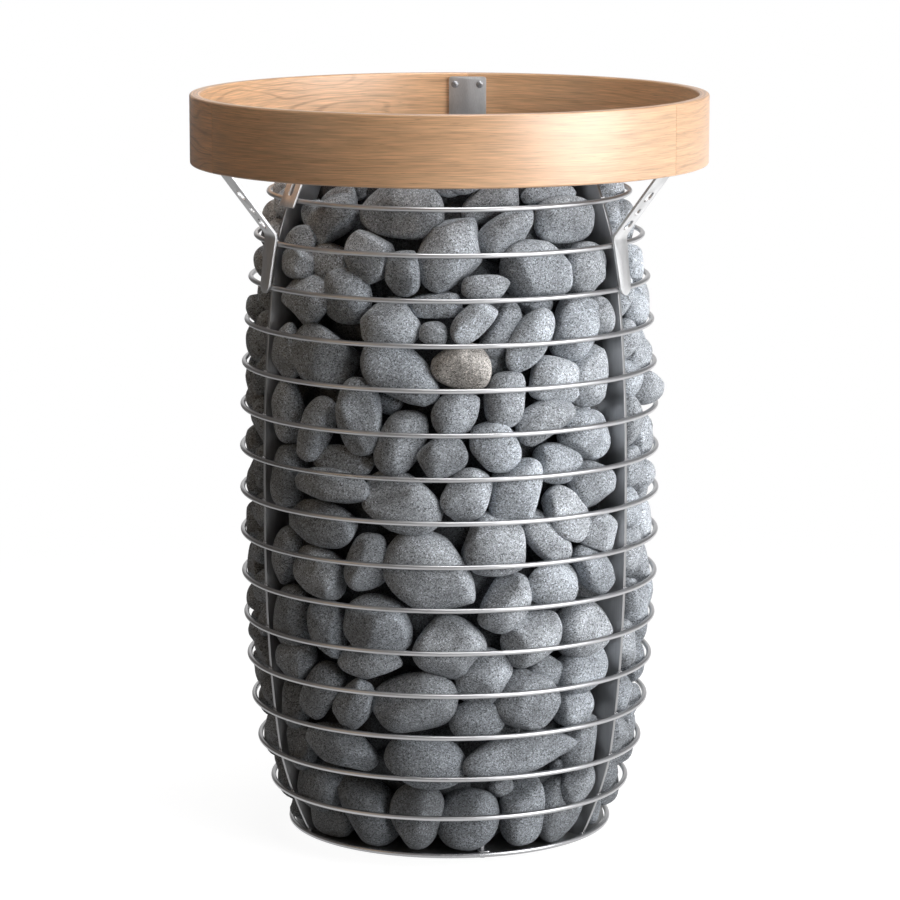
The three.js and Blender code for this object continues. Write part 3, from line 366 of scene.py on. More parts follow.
for node, body in FOOT_BODIES.items():
    low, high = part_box(node)
    middle = (low + high) / 2
    stud = []
    thread_start = PAD_SHOULDER[-1][1] + THREAD_PITCH
    for turn in np.arange(thread_start, high.z - 2 * THREAD_PITCH, THREAD_PITCH):
        stud.append((STUD_RADIUS - THREAD_DEPTH, turn))
        stud.append((STUD_RADIUS, turn + THREAD_PITCH / 2))
    stud.append((STUD_RADIUS - 2 * THREAD_DEPTH, high.z))
    stud.append((0, high.z))
    sections = turned(PAD_PROFILE + PAD_SHOULDER + tuple(stud), FOOT_SIDES)
    sections += np.array((middle.x, middle.y, 0))
    foot_mesh = mesh_of(node + "_turned", *loft(sections), sharp=35)
    fit(node + "_turned", foot_mesh, screw_steel, body, "screw_steel", node)

# Works inside the stones: the terminal can of rolled steel, its porcelain block and brass star bar, the
# tubular heating elements, darkened by heat, and the silicone grommet where the supply cord enters.
ELEMENT_TINT = (0.13, 0.115, 0.10, 1)
BRASS_TINT = (0.62, 0.43, 0.17, 1)
PORCELAIN_COLOUR = (0.78, 0.75, 0.69, 1)
SILICONE_COLOUR = (0.028, 0.027, 0.026, 1)


def dull_finish(name, colour, roughness, grain, depth):
    """Matt finish with a fine grain: fired porcelain or moulded silicone."""
    made = bpy.data.materials.new(name)
    made.use_nodes = True
    tree = made.node_tree
    shader = tree.nodes["Principled BSDF"]
    place = add_node(tree, "TexCoord").outputs["Object"]
    noise = add_node(tree, "TexNoise", {"Vector": place, "Scale": grain, "Detail": 3.0}).outputs["Fac"]
    shaded = add_node(tree, "VectorMath", operation="SCALE")
    put(tree, shaded.inputs[0], colour[:3])
    put(tree, shaded.inputs["Scale"], spread(tree, noise, 0.3, 0.7, 0.85, 1.1))
    put(tree, shader.inputs["Base Color"], shaded.outputs[0])
    put(tree, shader.inputs["Roughness"], spread(tree, noise, 0.3, 0.7, roughness - 0.08, roughness + 0.08))
    bump_to(tree, shader, noise, depth)
    return made


element_steel = steel("element_steel", ELEMENT_TINT, 0.4, 0.6, (700, 700, 60), 0.00003)
brass = steel("brass", BRASS_TINT, 0.22, 0.4, (900, 900, 900), 0.00002)
porcelain = dull_finish("porcelain", PORCELAIN_COLOUR, 0.45, 300, 0.0001)
silicone = dull_finish("silicone", SILICONE_COLOUR, 0.7, 500, 0.00008)
for number in (1, 2, 3):
    dress(f"heating_element_{number:02d}", element_steel)
dress("terminal_housing", rolled_steel)
dress("terminal_block", porcelain)
dress("star_bar", brass)
dress("cord_grommet", silicone)

# Ribs: three upright plates, laser-cut to the barrel's curve and set edge outwards, which carry the
# rings. The cut edges are deburred, and the faces keep the grain of the rolled sheet.
ROD = 0.005
RING_COUNT = 17
SHOULDER_RING = 2
BELLY_POWER = 2.5
RIB_AZIMUTHS = (90, 210, 330)
RIB_THICKNESS = 0.004
RIB_WIDTH = 0.030
RIB_EDGE = 0.0005
RIB_STEPS = 72
FIT_GAP = 0.0003
RIB_TINT = (0.39, 0.39, 0.395, 1)

ring_names = [f"cage_ring_{number:02d}" for number in range(1, RING_COUNT + 1)]
ring_boxes = [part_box(name) for name in ring_names]
ring_radius = np.array([high.y - ROD / 2 for low, high in ring_boxes])
ring_height = np.array([(low.z + high.z) / 2 for low, high in ring_boxes])
ring_pitch = ring_height[2] - ring_height[1]
ring_height[0] = ring_height[1] - ring_pitch
middle_ring = RING_COUNT // 2
cage_middle = ring_height[middle_ring]
cage_half = ring_height[-1] - cage_middle
shoulder_rise = cage_half - SHOULDER_RING * ring_pitch
belly_radius = ring_radius[middle_ring]
shoulder_radius = ring_radius[SHOULDER_RING]
end_radius = ring_radius[-1]


def barrel(height):
    """Radius of the rods' centre line at a height."""
    rise = np.abs(np.asarray(height) - cage_middle)
    belly = belly_radius - (belly_radius - shoulder_radius) * (np.minimum(rise, shoulder_rise) / shoulder_rise) ** BELLY_POWER
    share = np.maximum(rise - shoulder_rise, 0) / (cage_half - shoulder_rise)
    return belly - (shoulder_radius - end_radius) * (2 * share + share**2) / 3


def around(points, azimuth):
    """Points turned round the heater's axis from the +X side to an azimuth in degrees."""
    angle = math.radians(azimuth)
    turn = np.array(((math.cos(angle), math.sin(angle), 0), (-math.sin(angle), math.cos(angle), 0), (0, 0, 1)))
    return np.asarray(points) @ turn


rib_steel = steel("rib_steel", RIB_TINT, 0.28, 0.4, (900, 900, 40), 0.00004)
rib_low, rib_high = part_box("rib_01")
rib_sections = []
for height in np.linspace(rib_low.z, rib_high.z, RIB_STEPS):
    outer = float(barrel(max(height, ring_height[0]))) - ROD / 2 - FIT_GAP / 2
    inner = outer - RIB_WIDTH
    half = RIB_THICKNESS / 2
    rib_sections.append([
        (outer, -half + RIB_EDGE, height), (outer, half - RIB_EDGE, height),
        (outer - RIB_EDGE, half, height), (inner + RIB_EDGE, half, height),
        (inner, half - RIB_EDGE, height), (inner, -half + RIB_EDGE, height),
        (inner + RIB_EDGE, -half, height), (outer - RIB_EDGE, -half, height),
    ])
rib_points, rib_faces = loft(np.array(rib_sections))
for number, azimuth in enumerate(RIB_AZIMUTHS, start=1):
    rib_mesh = mesh_of(f"rib_plate_{number:02d}", around(rib_points, azimuth), rib_faces, sharp=30)
    fit(f"rib_plate_{number:02d}", rib_mesh, rib_steel, "heater", "plate_steel", f"rib_{number:02d}")

# Cage rings: seventeen hoops of round steel rod, bent and butt-welded, stacked in a barrel and welded to
# the outer edges of the ribs, with a small bead on each side. The bottom hoop carries three drilled lugs.
RING_STEPS = 192
ROD_SIDES = 14
BEAD_LENGTH = 0.0034
BEAD_RADIUS = 0.0021
BUTT_WELD_AZIMUTH = 97
BUTT_WELD_LENGTH = 0.004
BUTT_WELD_SWELL = 0.0003
LUG_AZIMUTHS = (45, 165, 285)
LUG_WIDTH = 0.012
LUG_LENGTH = 0.020
LUG_THICKNESS = 0.0025
LUG_CORNER = 0.003
LUG_HOLE_RADIUS = 0.0029
PLATE_EDGE = 0.0004
ROD_TINT = (0.53, 0.53, 0.54, 1)


def circle(radius, middle, sides):
    """Points of a circle in a flat plate."""
    angles = np.linspace(0, 2 * np.pi, sides, endpoint=False)
    return [(middle[0] + radius * math.cos(a), middle[1] + radius * math.sin(a)) for a in angles]


def rounded(corners, radius, steps=5):
    """Outline of a flat plate with its square corners rounded, counter-clockwise."""
    outline = []
    for index, corner in enumerate(np.array(corners)):
        before = np.array(corners[index - 1]) - corner
        after = np.array(corners[(index + 1) % len(corners)]) - corner
        before /= np.linalg.norm(before)
        after /= np.linalg.norm(after)
        middle = corner + radius * (before + after)
        for step in range(steps + 1):
            angle = math.pi / 2 * step / steps
            outline.append(tuple(middle - radius * (after * math.cos(angle) + before * math.sin(angle))))
    return outline


def flat_plate(outline, holes, thickness, edge, cuts=()):
    """bmesh of a cut plate, its length along Y, with softened edges and cross cuts where it will bend."""
    work = bmesh.new()
    for loop in [outline, *holes]:
        corners = [work.verts.new((x, y, -thickness / 2)) for x, y in loop]
        for here, beside in zip(corners, corners[1:] + corners[:1]):
            work.edges.new((here, beside))
    bmesh.ops.triangle_fill(work, edges=work.edges[:], use_beauty=True)
    raised = bmesh.ops.extrude_face_region(work, geom=work.faces[:])["geom"]
    lifted = [part for part in raised if isinstance(part, bmesh.types.BMVert)]
    bmesh.ops.translate(work, verts=lifted, vec=(0, 0, thickness))
    bmesh.ops.recalc_face_normals(work, faces=work.faces[:])
    rim = [part for part in work.edges if part.calc_face_angle(0) > math.radians(50)]
    bmesh.ops.bevel(work, geom=rim, offset=edge, segments=2, profile=0.5, affect="EDGES", clamp_overlap=True)
    for cut in cuts:
        everything = work.verts[:] + work.edges[:] + work.faces[:]
        bmesh.ops.bisect_plane(work, geom=everything, plane_co=(0, cut, 0), plane_no=(0, 1, 0))
    return work


def plate_data(work):
    """Points and faces of a plate's bmesh, which is then freed."""
    work.verts.ensure_lookup_table()
    points = np.array([part.co[:] for part in work.verts])
    faces = [[corner.index for corner in face.verts] for face in work.faces]
    work.free()
    return points, faces


def joined(parts):
    """Points and faces of several shells as one."""
    points = []
    faces = []
    for part_points, part_faces in parts:
        start = sum(len(group) for group in points)
        points.append(np.asarray(part_points))
        faces.extend([[start + corner for corner in face] for face in part_faces])
    return np.concatenate(points), faces


def ball(fineness):
    """Points and faces of a round ball of radius 1."""
    work = bmesh.new()
    bmesh.ops.create_icosphere(work, subdivisions=fineness, radius=1)
    return plate_data(work)


bead_points, bead_faces = ball(2)


def hoop(radius, height):
    """Rod ring with a faint swelling at its butt weld, and its weld beads at the ribs."""
    turns = np.linspace(0, 2 * np.pi, RING_STEPS, endpoint=False) + math.radians(BUTT_WELD_AZIMUTH)
    around_rod = np.linspace(0, 2 * np.pi, ROD_SIDES, endpoint=False)
    from_weld = radius * np.abs((turns - math.radians(BUTT_WELD_AZIMUTH) + np.pi) % (2 * np.pi) - np.pi)
    rod = ROD / 2 + BUTT_WELD_SWELL * np.exp(-((from_weld / BUTT_WELD_LENGTH) ** 2))
    reach = radius + rod[:, None] * np.cos(around_rod)[None, :]
    rise = height + rod[:, None] * np.sin(around_rod)[None, :]
    ring = np.stack([reach * np.cos(turns)[:, None], reach * np.sin(turns)[:, None], rise], axis=2)
    shells = [loft(ring, closed=True)]
    for azimuth in RIB_AZIMUTHS:
        for side in (-1, 1):
            bead = bead_points * np.array((BEAD_RADIUS, BEAD_RADIUS * 0.8, BEAD_LENGTH))
            bead = bead + np.array((radius - ROD / 2 - FIT_GAP, side * RIB_THICKNESS / 2, height))
            shells.append((around(bead, azimuth), bead_faces))
    return shells


def lug():
    """Drilled lug of the bottom hoop, on the +X side."""
    low = ring_boxes[0][1].z - LUG_THICKNESS / 2
    half = LUG_WIDTH / 2
    outline = rounded([(-half, 0), (half, 0), (half, LUG_LENGTH), (-half, LUG_LENGTH)], LUG_CORNER)
    hole = circle(LUG_HOLE_RADIUS, (0, LUG_LENGTH / 2 - ROD / 2), 20)
    points, faces = plate_data(flat_plate(outline, [hole], LUG_THICKNESS, PLATE_EDGE))
    placed = np.stack([ring_radius[0] - LUG_LENGTH + points[:, 1], points[:, 0], low + points[:, 2]], axis=1)
    return placed, faces


rod_steel = steel("rod_steel", ROD_TINT, 0.26, 0.36, (50, 50, 1400), 0.000004)
for index, node in enumerate(ring_names):
    shells = hoop(ring_radius[index], ring_height[index])
    if index == 0:
        lug_points, lug_faces = lug()
        shells += [(around(lug_points, azimuth), lug_faces) for azimuth in LUG_AZIMUTHS]
    hoop_mesh = mesh_of(f"hoop_{index + 1:02d}", *joined(shells), sharp=50)
    fit(f"hoop_{index + 1:02d}", hoop_mesh, rod_steel, "heater", "rod_steel", node)

# Stones: rounded heater stones of a speckled dark rock, tumbled smooth, laid by hand against the rods.
# The front bay follows the photograph stone by stone: pixel across and down, length and breadth in
# millimetres as seen, tilt of the long axis, how far it sits back, and its taper towards one end.
FRONT_STONES = (
    (314, 203, 58, 30, 33, 1, 0), (330, 221, 58, 37, 40, 0, 0), (403, 211, 80, 50, -3, 0, 0.1),
    (352, 190, 28, 20, 0, 2, 0), (297, 237, 34, 28, 30, 0, 0), (332, 262, 37, 35, 0, 1, 0),
    (298, 262, 36, 30, 0, 0, 0), (298, 211, 30, 24, 20, 0.5, 0),
    (370, 255, 50, 45, -70, 0, 0.2), (403, 270, 48, 32, 85, 0, -0.2), (451, 254, 74, 56, 62, 0, 0),
    (457, 182, 41, 24, 0, 1, 0), (493, 203, 60, 33, 25, 1, 0), (508, 233, 60, 35, 38, 0, 0),
    (548, 192, 56, 30, 0, 1, 0), (569, 220, 58, 45, 0, 0, 0), (538, 269, 71, 54, -10, 0, 0),
    (593, 268, 50, 42, 90, 0, 0), (486, 287, 45, 28, -5, 0.5, 0),
    (304, 300, 54, 46, 35, 0, 0), (346, 296, 52, 46, 90, 0, 0), (390, 324, 56, 50, 0, 0, 0),
    (438, 306, 54, 26, -3, 1, 0), (434, 334, 26, 24, 0, 0.5, 0), (474, 321, 50, 28, 42, 0, 0),
    (500, 329, 54, 33, 60, 1, 0), (531, 339, 67, 33, 58, 0, 0), (575, 328, 61, 41, 65, 0, 0),
    (606, 314, 42, 30, -70, 0, 0), (535, 303, 33, 24, 0, 2, 0), (284, 348, 56, 30, 90, 0, 0),
    (327, 355, 63, 60, 60, 0, 0), (400, 376, 84, 50, -35, 0, -0.15), (463, 365, 56, 45, -10, 0, 0),
    (493, 360, 32, 28, 0, 2, 0), (597, 376, 63, 43, 65, 0, 0),
    (505, 397, 56, 37, 78, 0, 0), (553, 380, 54, 43, -20, 0, 0), (457, 413, 48, 41, 25, 0, 0),
    (547, 420, 61, 39, 20, 0, 0), (593, 433, 58, 46, -25, 0, 0), (606, 406, 24, 24, 0, 2, 0),
    (494, 448, 54, 43, -55, 0, 0), (442, 456, 46, 39, 20, 0, 0), (401, 441, 69, 41, 62, 0, 0),
    (361, 417, 73, 41, 92, 0, 0), (315, 430, 69, 35, 65, 0, 0), (282, 411, 61, 30, 95, 0, 0),
    (391, 402, 28, 24, 0, 2, 0), (466, 494, 52, 43, 60, 0, 0), (514, 492, 67, 46, 80, 0, 0),
    (555, 463, 54, 37, -12, 0.5, 0), (599, 482, 50, 46, -40, 0, 0), (335, 486, 78, 33, 0, 0, 0),
    (345, 462, 65, 32, -5, 1, 0), (283, 476, 62, 30, 85, 0, 0), (403, 503, 74, 56, -15, 0, 0),
    (322, 524, 76, 43, -3, 0, 0), (367, 562, 56, 37, 80, 0, -0.15), (434, 573, 95, 71, -32, 0, 0),
    (323, 571, 60, 46, -25, 0, 0), (281, 554, 56, 27, 80, 0, 0), (290, 616, 63, 36, 92, 0, 0),
    (328, 628, 58, 35, -75, 0, 0), (379, 625, 65, 54, -15, 0, 0), (298, 659, 45, 36, 35, 0, 0),
    (372, 660, 60, 35, -8, 0.5, 0), (449, 648, 67, 58, -20, 0, 0), (505, 603, 60, 43, 60, 0, 0),
    (494, 545, 61, 58, -20, 0, 0), (545, 535, 65, 33, -52, 0.5, 0), (564, 513, 61, 39, -58, 0, 0),
    (603, 531, 46, 39, -45, 0, 0), (592, 568, 56, 37, -45, 0, 0), (552, 584, 52, 41, -15, 0, 0),
    (586, 626, 58, 54, 60, 0, 0), (531, 636, 58, 46, 35, 0, 0),
    (321, 692, 61, 39, 65, 0, 0), (287, 700, 50, 26, 90, 0, 0), (356, 702, 48, 35, 60, 0, 0),
    (415, 701, 78, 58, 0, 0, 0), (483, 676, 58, 48, 55, 0.5, 0), (524, 699, 60, 54, -35, 0, 0),
    (545, 670, 37, 28, -35, 1, 0), (587, 668, 58, 45, 50, 0, 0), (571, 706, 41, 35, 40, 0.5, 0),
    (477, 719, 52, 37, 10, 0.5, 0), (505, 730, 28, 20, 0, 2, 0), (290, 741, 52, 28, 90, 0, 0),
    (344, 749, 74, 45, -8, 0, 0), (423, 761, 78, 52, -12, 0, 0), (522, 754, 113, 43, 8, 0, 0),
    (594, 736, 60, 36, 75, 0, 0), (566, 764, 28, 20, 0, 1, 0), (309, 783, 52, 40, 90, 0, 0),
    (321, 822, 46, 40, 0, 0, 0), (365, 812, 73, 50, -50, 0, 0), (416, 815, 65, 48, 88, 0, 0.15),
    (469, 817, 65, 56, 80, 0, 0), (524, 812, 67, 41, 88, 0, 0), (572, 805, 67, 46, 70, 0, 0),
    (500, 787, 26, 19, 0, 2, 0), (598, 780, 46, 28, 70, 0, 0), (582, 838, 30, 26, 60, 0.5, 0),
)
TAN_STONE = (463, 365)
LIMB_STONES = {
    "left": {"rib": 210, "swing": -20, "width": 46, "beside": -8.5, "rows": (
        (188, 30, 0), (216, 38, 0), (259, 34, 0), (304, 30, 6), (338, 40, 0), (391, 56, 0), (437, 34, 0), (475, 50, 0),
        (516, 44, 0), (555, 48, 0), (592, 32, 0), (622, 38, 0), (654, 38, 0), (690, 40, 0), (729, 42, 0),
        (772, 40, 0), (808, 36, 0),
    )},
    "right": {"rib": 330, "swing": 23, "width": 52, "beside": 9.5, "rows": (
        (186, 32, 0), (222, 48, 0), (263, 48, 0), (306, 38, 0), (351, 44, 0), (383, 33, 15), (433, 52, 0), (472, 34, 0),
        (512, 46, 0), (555, 42, 0), (601, 52, 0), (653, 44, 0), (692, 38, 0), (735, 44, 0), (776, 40, 0),
        (812, 36, 0),
    )},
}
MILLIMETRE = 0.001
SET_BACK = 0.014
STONE_DEPTH_SHARE = 0.8
STONE_FULLNESS = 0.86
STONE_OVERSIZE = 1.07
STONE_DEPTH_LEAST = 0.022
STONE_DEPTH_MOST = 0.052
STONE_BULGE = 0.003
LIMB_DEPTH = 0.038
BESIDE_WIDTH = 40
BESIDE_STRETCH = (0.8, 1.3)
BESIDE_SHIFTS = (-2.5, 2.5)
BESIDE_TILTS = (-0.9, 0.9)
LIMB_REACH = 30
STONE_FINENESS = 4
INNER_FINENESS = 3
STONE_SEED = 71
BESIDE_SEED = 72
STONE_TONES = (0.8, 1.16)
# Painted shade: the stones of the second layer are kept very dark, so the gaps between the front stones look shaded.
INNER_PAINTED_SHADE_TONES = (0.2, 0.36)
# Painted shade: stones are made darker the lower they lie, up to the given height, for the light that falls off towards
# the bottom.
LOW_PAINTED_SHADE = 0.52
LOW_PAINTED_SHADE_HEIGHT = 0.3
STONE_WARMTHS = (0.0, 0.1)
TAN_TONE = 1.12
TAN_WARMTH = 0.7
FRONT_BAY = 1
BAY_NAMES = ("left", "front", "right")
BAY_MIDDLES = (150, 270, 30)
TIER_NAMES = ("lower", "middle", "upper")
TIER_SPLITS = (0.229, 0.442)
STONE_FLOOR = 0.0155

forward = np.array((
    -math.sin(CAMERA_SWING) * math.cos(CAMERA_DIP),
    math.cos(CAMERA_SWING) * math.cos(CAMERA_DIP),
    -math.sin(CAMERA_DIP),
))
rightward = np.array((math.cos(CAMERA_SWING), math.sin(CAMERA_SWING), 0))
upward = np.cross(rightward, forward)
eye = np.array(camera.location)
pebble_balls = {fineness: ball(fineness) for fineness in (STONE_FINENESS, INNER_FINENESS)}


def pebble(length, breadth, depth, taper, fineness, chance):
    """Points of a tumbled stone: a ball with worn flats and slow swells, drawn to its three sizes."""
    points = pebble_balls[fineness][0]
    points = np.sign(points) * np.abs(points) ** STONE_FULLNESS
    for flat in range(6):
        face = chance.normal(size=3)
        face /= np.linalg.norm(face)
        over = np.maximum(points @ face - chance.uniform(0.64, 0.9), 0)
        points = points - chance.uniform(0.5, 0.9) * over[:, None] * face
    for swell in range(4):
        way = chance.normal(size=3) * chance.uniform(0.7, 1.3)
        points = points * (1 + 0.03 * np.sin(points @ way * 2 + chance.uniform(0, 6.28)))[:, None]
    points = points / np.abs(points).max(axis=0)
    points[:, 1:] *= (1 + taper * points[:, 0])[:, None]
    return points * np.array((length, breadth, depth)) / 2


def on_the_cage(x, y, depth):
    """Where the ray through a pixel meets a barrel that lies a depth inside the rods."""
    ray = forward + rightward * (x - AXIS_PIXEL_X) / FOCAL_PIXELS - upward * (y - AXIS_PIXEL_Y) / FOCAL_PIXELS
    near, far = CAMERA_DISTANCE - 0.3, CAMERA_DISTANCE + 0.02
    for halving in range(40):
        middle = (near + far) / 2
        point = eye + ray * middle
        inside = math.hypot(point[0], point[1]) < float(barrel(point[2])) - ROD / 2 - depth
        near, far = (near, middle) if inside else (middle, far)
    return point


def stone_room(points, more=0.0):
    """How far each point lies outside the room for stones, inside the rods and bulging between them."""
    reach = np.hypot(points[:, 0], points[:, 1])
    from_ring = np.abs((points[:, 2] - ring_height[0] + ring_pitch / 2) % ring_pitch - ring_pitch / 2)
    bulge = (STONE_BULGE + more) * np.clip((from_ring - ROD / 2) / (ring_pitch / 4), 0, 1)
    return reach - (barrel(points[:, 2]) - ROD / 2 - FIT_GAP + bulge)


def seat(points, bay, back, more=0.0):
    """Moves a stone radially until it touches the rods, or sits back from them, clear of the ribs."""
    for round_number in range(4):
        centre = points.mean(axis=0)
        outward = np.array((centre[0], centre[1], 0)) / math.hypot(centre[0], centre[1])
        points = points - outward * (stone_room(points, more).max() + back)
        for rib, side in ((BAY_MIDDLES[bay] - 60, 1), (BAY_MIDDLES[bay] + 60, -1)):
            angle = math.radians(rib)
            across = np.array((-math.sin(angle), math.cos(angle), 0)) * side
            short = RIB_THICKNESS / 2 + FIT_GAP - (points @ across).min()
            points = points + across * max(short, 0)
    points[:, 2] += max(STONE_FLOOR - points[:, 2].min(), 0)
    return points


def front_stone(entry, chance):
    """One stone of the front bay, laid where the photograph shows it."""
    x, y, length, breadth, tilt, back, taper = entry
    length, breadth = length * MILLIMETRE * STONE_OVERSIZE, breadth * MILLIMETRE * STONE_OVERSIZE
    centre = on_the_cage(x, y, 0.4 * breadth + SET_BACK * back)
    outward = np.array((centre[0], centre[1], 0)) / math.hypot(centre[0], centre[1])
    facing = -outward @ forward / math.cos(CAMERA_DIP)
    slim = math.sqrt(facing**2 + 0.5 * (1 - facing**2))
    angle = math.radians(tilt)
    turn = np.array(((math.cos(angle), -math.sin(angle)), (math.sin(angle), math.cos(angle))))
    seen_form = turn @ np.diag((length**2, breadth**2)) @ turn.T
    stretch = np.diag((1 / slim, 1))
    sizes, ways = np.linalg.eigh(stretch @ seen_form @ stretch)
    breadth, length = np.sqrt(sizes)
    long_way = ways[:, 1] * (1 if ways[:, 1] @ turn[:, 0] >= 0 else -1)
    depth = min(max(STONE_DEPTH_SHARE * breadth, STONE_DEPTH_LEAST), STONE_DEPTH_MOST)
    beside = np.array((-outward[1], outward[0], 0))
    up = np.array((0, 0, 1))
    along = long_way[0] * beside + long_way[1] * up
    across = -long_way[1] * beside + long_way[0] * up
    points = pebble(length, breadth, depth, taper, STONE_FINENESS, chance)
    points = centre + points @ np.array((along, across, outward))
    return seat(points, FRONT_BAY, SET_BACK * back)


def limb_stone(side, swing, width, tilt, row, chance):
    """One stone of a side bay, at the edge of the barrel or beside the rib, as the photograph shows it."""
    bay = BAY_NAMES.index(side)
    y, tall, bulge = row
    ray = forward - upward * (y - AXIS_PIXEL_Y) / FOCAL_PIXELS
    height = eye[2] + ray[2] * CAMERA_DISTANCE / math.hypot(ray[0], ray[1])
    wide = width * MILLIMETRE * chance.uniform(0.92, 1.08)
    points = pebble(tall * MILLIMETRE * STONE_OVERSIZE, wide, LIMB_DEPTH, 0, STONE_FINENESS, chance)
    lean = np.array(((1, 0, 0), (0, math.cos(tilt), math.sin(tilt)), (0, -math.sin(tilt), math.cos(tilt))))
    points = points[:, (2, 1, 0)] @ lean + np.array((float(barrel(height)) - LIMB_DEPTH, 0, height))
    points = around(points, LIMB_STONES[side]["rib"] + swing)
    return bay, seat(points, bay, 0, bulge * MILLIMETRE)


def behind_limb(points, bay):
    """Whether a mirrored stone lies where the edge of the barrel has stones of its own."""
    centre = points.mean(axis=0)
    azimuth = math.degrees(math.atan2(centre[1], centre[0])) % 360
    return bay != FRONT_BAY and abs(azimuth - LIMB_STONES[BAY_NAMES[bay]]["rib"]) < LIMB_REACH


def mirrored(points, azimuth, upside_down):
    """Front bay's stone carried to another bay: mirrored across the bay, or turned upside down."""
    moved = points.copy()
    if upside_down:
        moved[:, 2] = 2 * cage_middle - moved[:, 2]
        moved[:, 2] += max(STONE_FLOOR - moved[:, 2].min(), 0)
    else:
        moved[:, 0] = -moved[:, 0]
    return around(moved, azimuth - BAY_MIDDLES[FRONT_BAY])


chance = np.random.default_rng(STONE_SEED)
piles = {}


def lay(bay, points, fineness, tone_and_painted_light, warmth):
    """Adds a stone to the pile of its bay and tier, with painted shade that darkens the lower stones."""
    height = points[:, 2].mean()
    # Painted shade: the stone's tone is darkened the lower it lies.
    tone_and_painted_light *= LOW_PAINTED_SHADE + (1 - LOW_PAINTED_SHADE) * min(height / LOW_PAINTED_SHADE_HEIGHT, 1)
    tier = sum(height > split for split in TIER_SPLITS)
    piles.setdefault((bay, tier), []).append((points, pebble_balls[fineness][1], tone_and_painted_light, warmth))


for entry in FRONT_STONES:
    points = front_stone(entry, chance)
    tan = entry[:2] == TAN_STONE
    for bay, azimuth in enumerate(BAY_MIDDLES):
        tone_and_painted_light = chance.uniform(*STONE_TONES)
        warmth = chance.uniform(*STONE_WARMTHS)
        placed = points if bay == FRONT_BAY else mirrored(points, azimuth, upside_down=bay == 2)
        if tan and bay == FRONT_BAY:
            tone_and_painted_light, warmth = TAN_TONE, TAN_WARMTH
        if not behind_limb(placed, bay):
            lay(bay, placed, STONE_FINENESS, tone_and_painted_light, warmth)
for side, column in LIMB_STONES.items():
    for row in column["rows"]:
        bay, points = limb_stone(side, column["swing"], column["width"], 0, row, chance)
        lay(bay, points, STONE_FINENESS, chance.uniform(*STONE_TONES), chance.uniform(*STONE_WARMTHS))
beside_chance = np.random.default_rng(BESIDE_SEED)
for side, column in LIMB_STONES.items():
    for upper, lower in zip(column["rows"], column["rows"][1:]):
        row = ((upper[0] + lower[0]) / 2, (lower[0] - upper[0]) * beside_chance.uniform(*BESIDE_STRETCH), 0)
        swing = column["beside"] + beside_chance.uniform(*BESIDE_SHIFTS)
        width = BESIDE_WIDTH * beside_chance.uniform(*BESIDE_STRETCH)
        tilt = beside_chance.uniform(*BESIDE_TILTS)
        bay, points = limb_stone(side, swing, width, tilt, row, beside_chance)
        tone_and_painted_light = beside_chance.uniform(*STONE_TONES)
        lay(bay, points, STONE_FINENESS, tone_and_painted_light, beside_chance.uniform(*STONE_WARMTHS))

# Stones behind those: a second layer, which closes the gaps, laid in staggered rows, dark as painted shade.
INNER_ROWS = 15
INNER_PER_ROW = 8
INNER_SET_BACK = 0.040
INNER_SIZE = 0.068
for bay, azimuth in enumerate(BAY_MIDDLES):
    for row in range(INNER_ROWS):
        height = 0.045 + row * (0.655 - 0.045) / (INNER_ROWS - 1)
        for place in range(INNER_PER_ROW):
            swing = 120 * (place + 0.5 + 0.25 * (-1) ** row) / INNER_PER_ROW - 60
            size = INNER_SIZE * chance.uniform(0.85, 1.15, size=3) * np.array((1.1, 0.9, 0.85))
            points = pebble(*size, 0, INNER_FINENESS, chance)
            spin = chance.uniform(0, math.pi)
            flat = np.array(((0, math.cos(spin), math.sin(spin)), (0, -math.sin(spin), math.cos(spin)), (1, 0, 0)))
            reach = float(barrel(height)) - INNER_SET_BACK - size[2] / 2
            points = points @ flat + np.array((reach, 0, height + chance.uniform(-0.008, 0.008)))
            points[:, 2] += max(STONE_FLOOR - points[:, 2].min(), 0)
            # Each inner stone's tone is drawn from the dark range, as painted shade.
            lay(bay, around(points, azimuth + swing), INNER_FINENESS, chance.uniform(*INNER_PAINTED_SHADE_TONES), chance.uniform(*STONE_WARMTHS))

# Stones on top: laid flat in a low heap inside the top ring, under the height of the railing.
CROWN_ROWS = (
    {"stones": 8, "radius": 0.0988, "height": 0.6805, "length": 0.080, "breadth": 0.074, "rise": 0.046},
    {"stones": 3, "radius": 0.0424, "height": 0.6805, "length": 0.088, "breadth": 0.082, "rise": 0.066},
    {"stones": 9, "radius": 0.1360, "height": 0.6660, "length": 0.048, "breadth": 0.042, "rise": 0.034},
)
crown = []
for row in CROWN_ROWS:
    for place in range(row["stones"]):
        size = np.array((row["length"], row["breadth"], row["rise"])) * chance.uniform(0.94, 1.06, size=3)
        points = pebble(*size, 0, STONE_FINENESS, chance)
        spin = chance.uniform(0, math.pi)
        flat = np.array(((math.cos(spin), math.sin(spin), 0), (-math.sin(spin), math.cos(spin), 0), (0, 0, 1)))
        points = points @ flat + np.array((row["radius"], 0, row["height"]))
        points = around(points, RIB_AZIMUTHS[0] + 360 * (place + 0.5) / row["stones"])
        reach = np.hypot(points[:, 0], points[:, 1]).max()
        centre = points.mean(axis=0)
        inwards = np.array((centre[0], centre[1], 0)) / max(math.hypot(centre[0], centre[1]), 1e-6)
        points = points - inwards * max(reach - (end_radius - ROD / 2 - RIB_WIDTH * 0.2), 0)
        crown.append((points, pebble_balls[STONE_FINENESS][1], chance.uniform(*STONE_TONES), chance.uniform(*STONE_WARMTHS)))


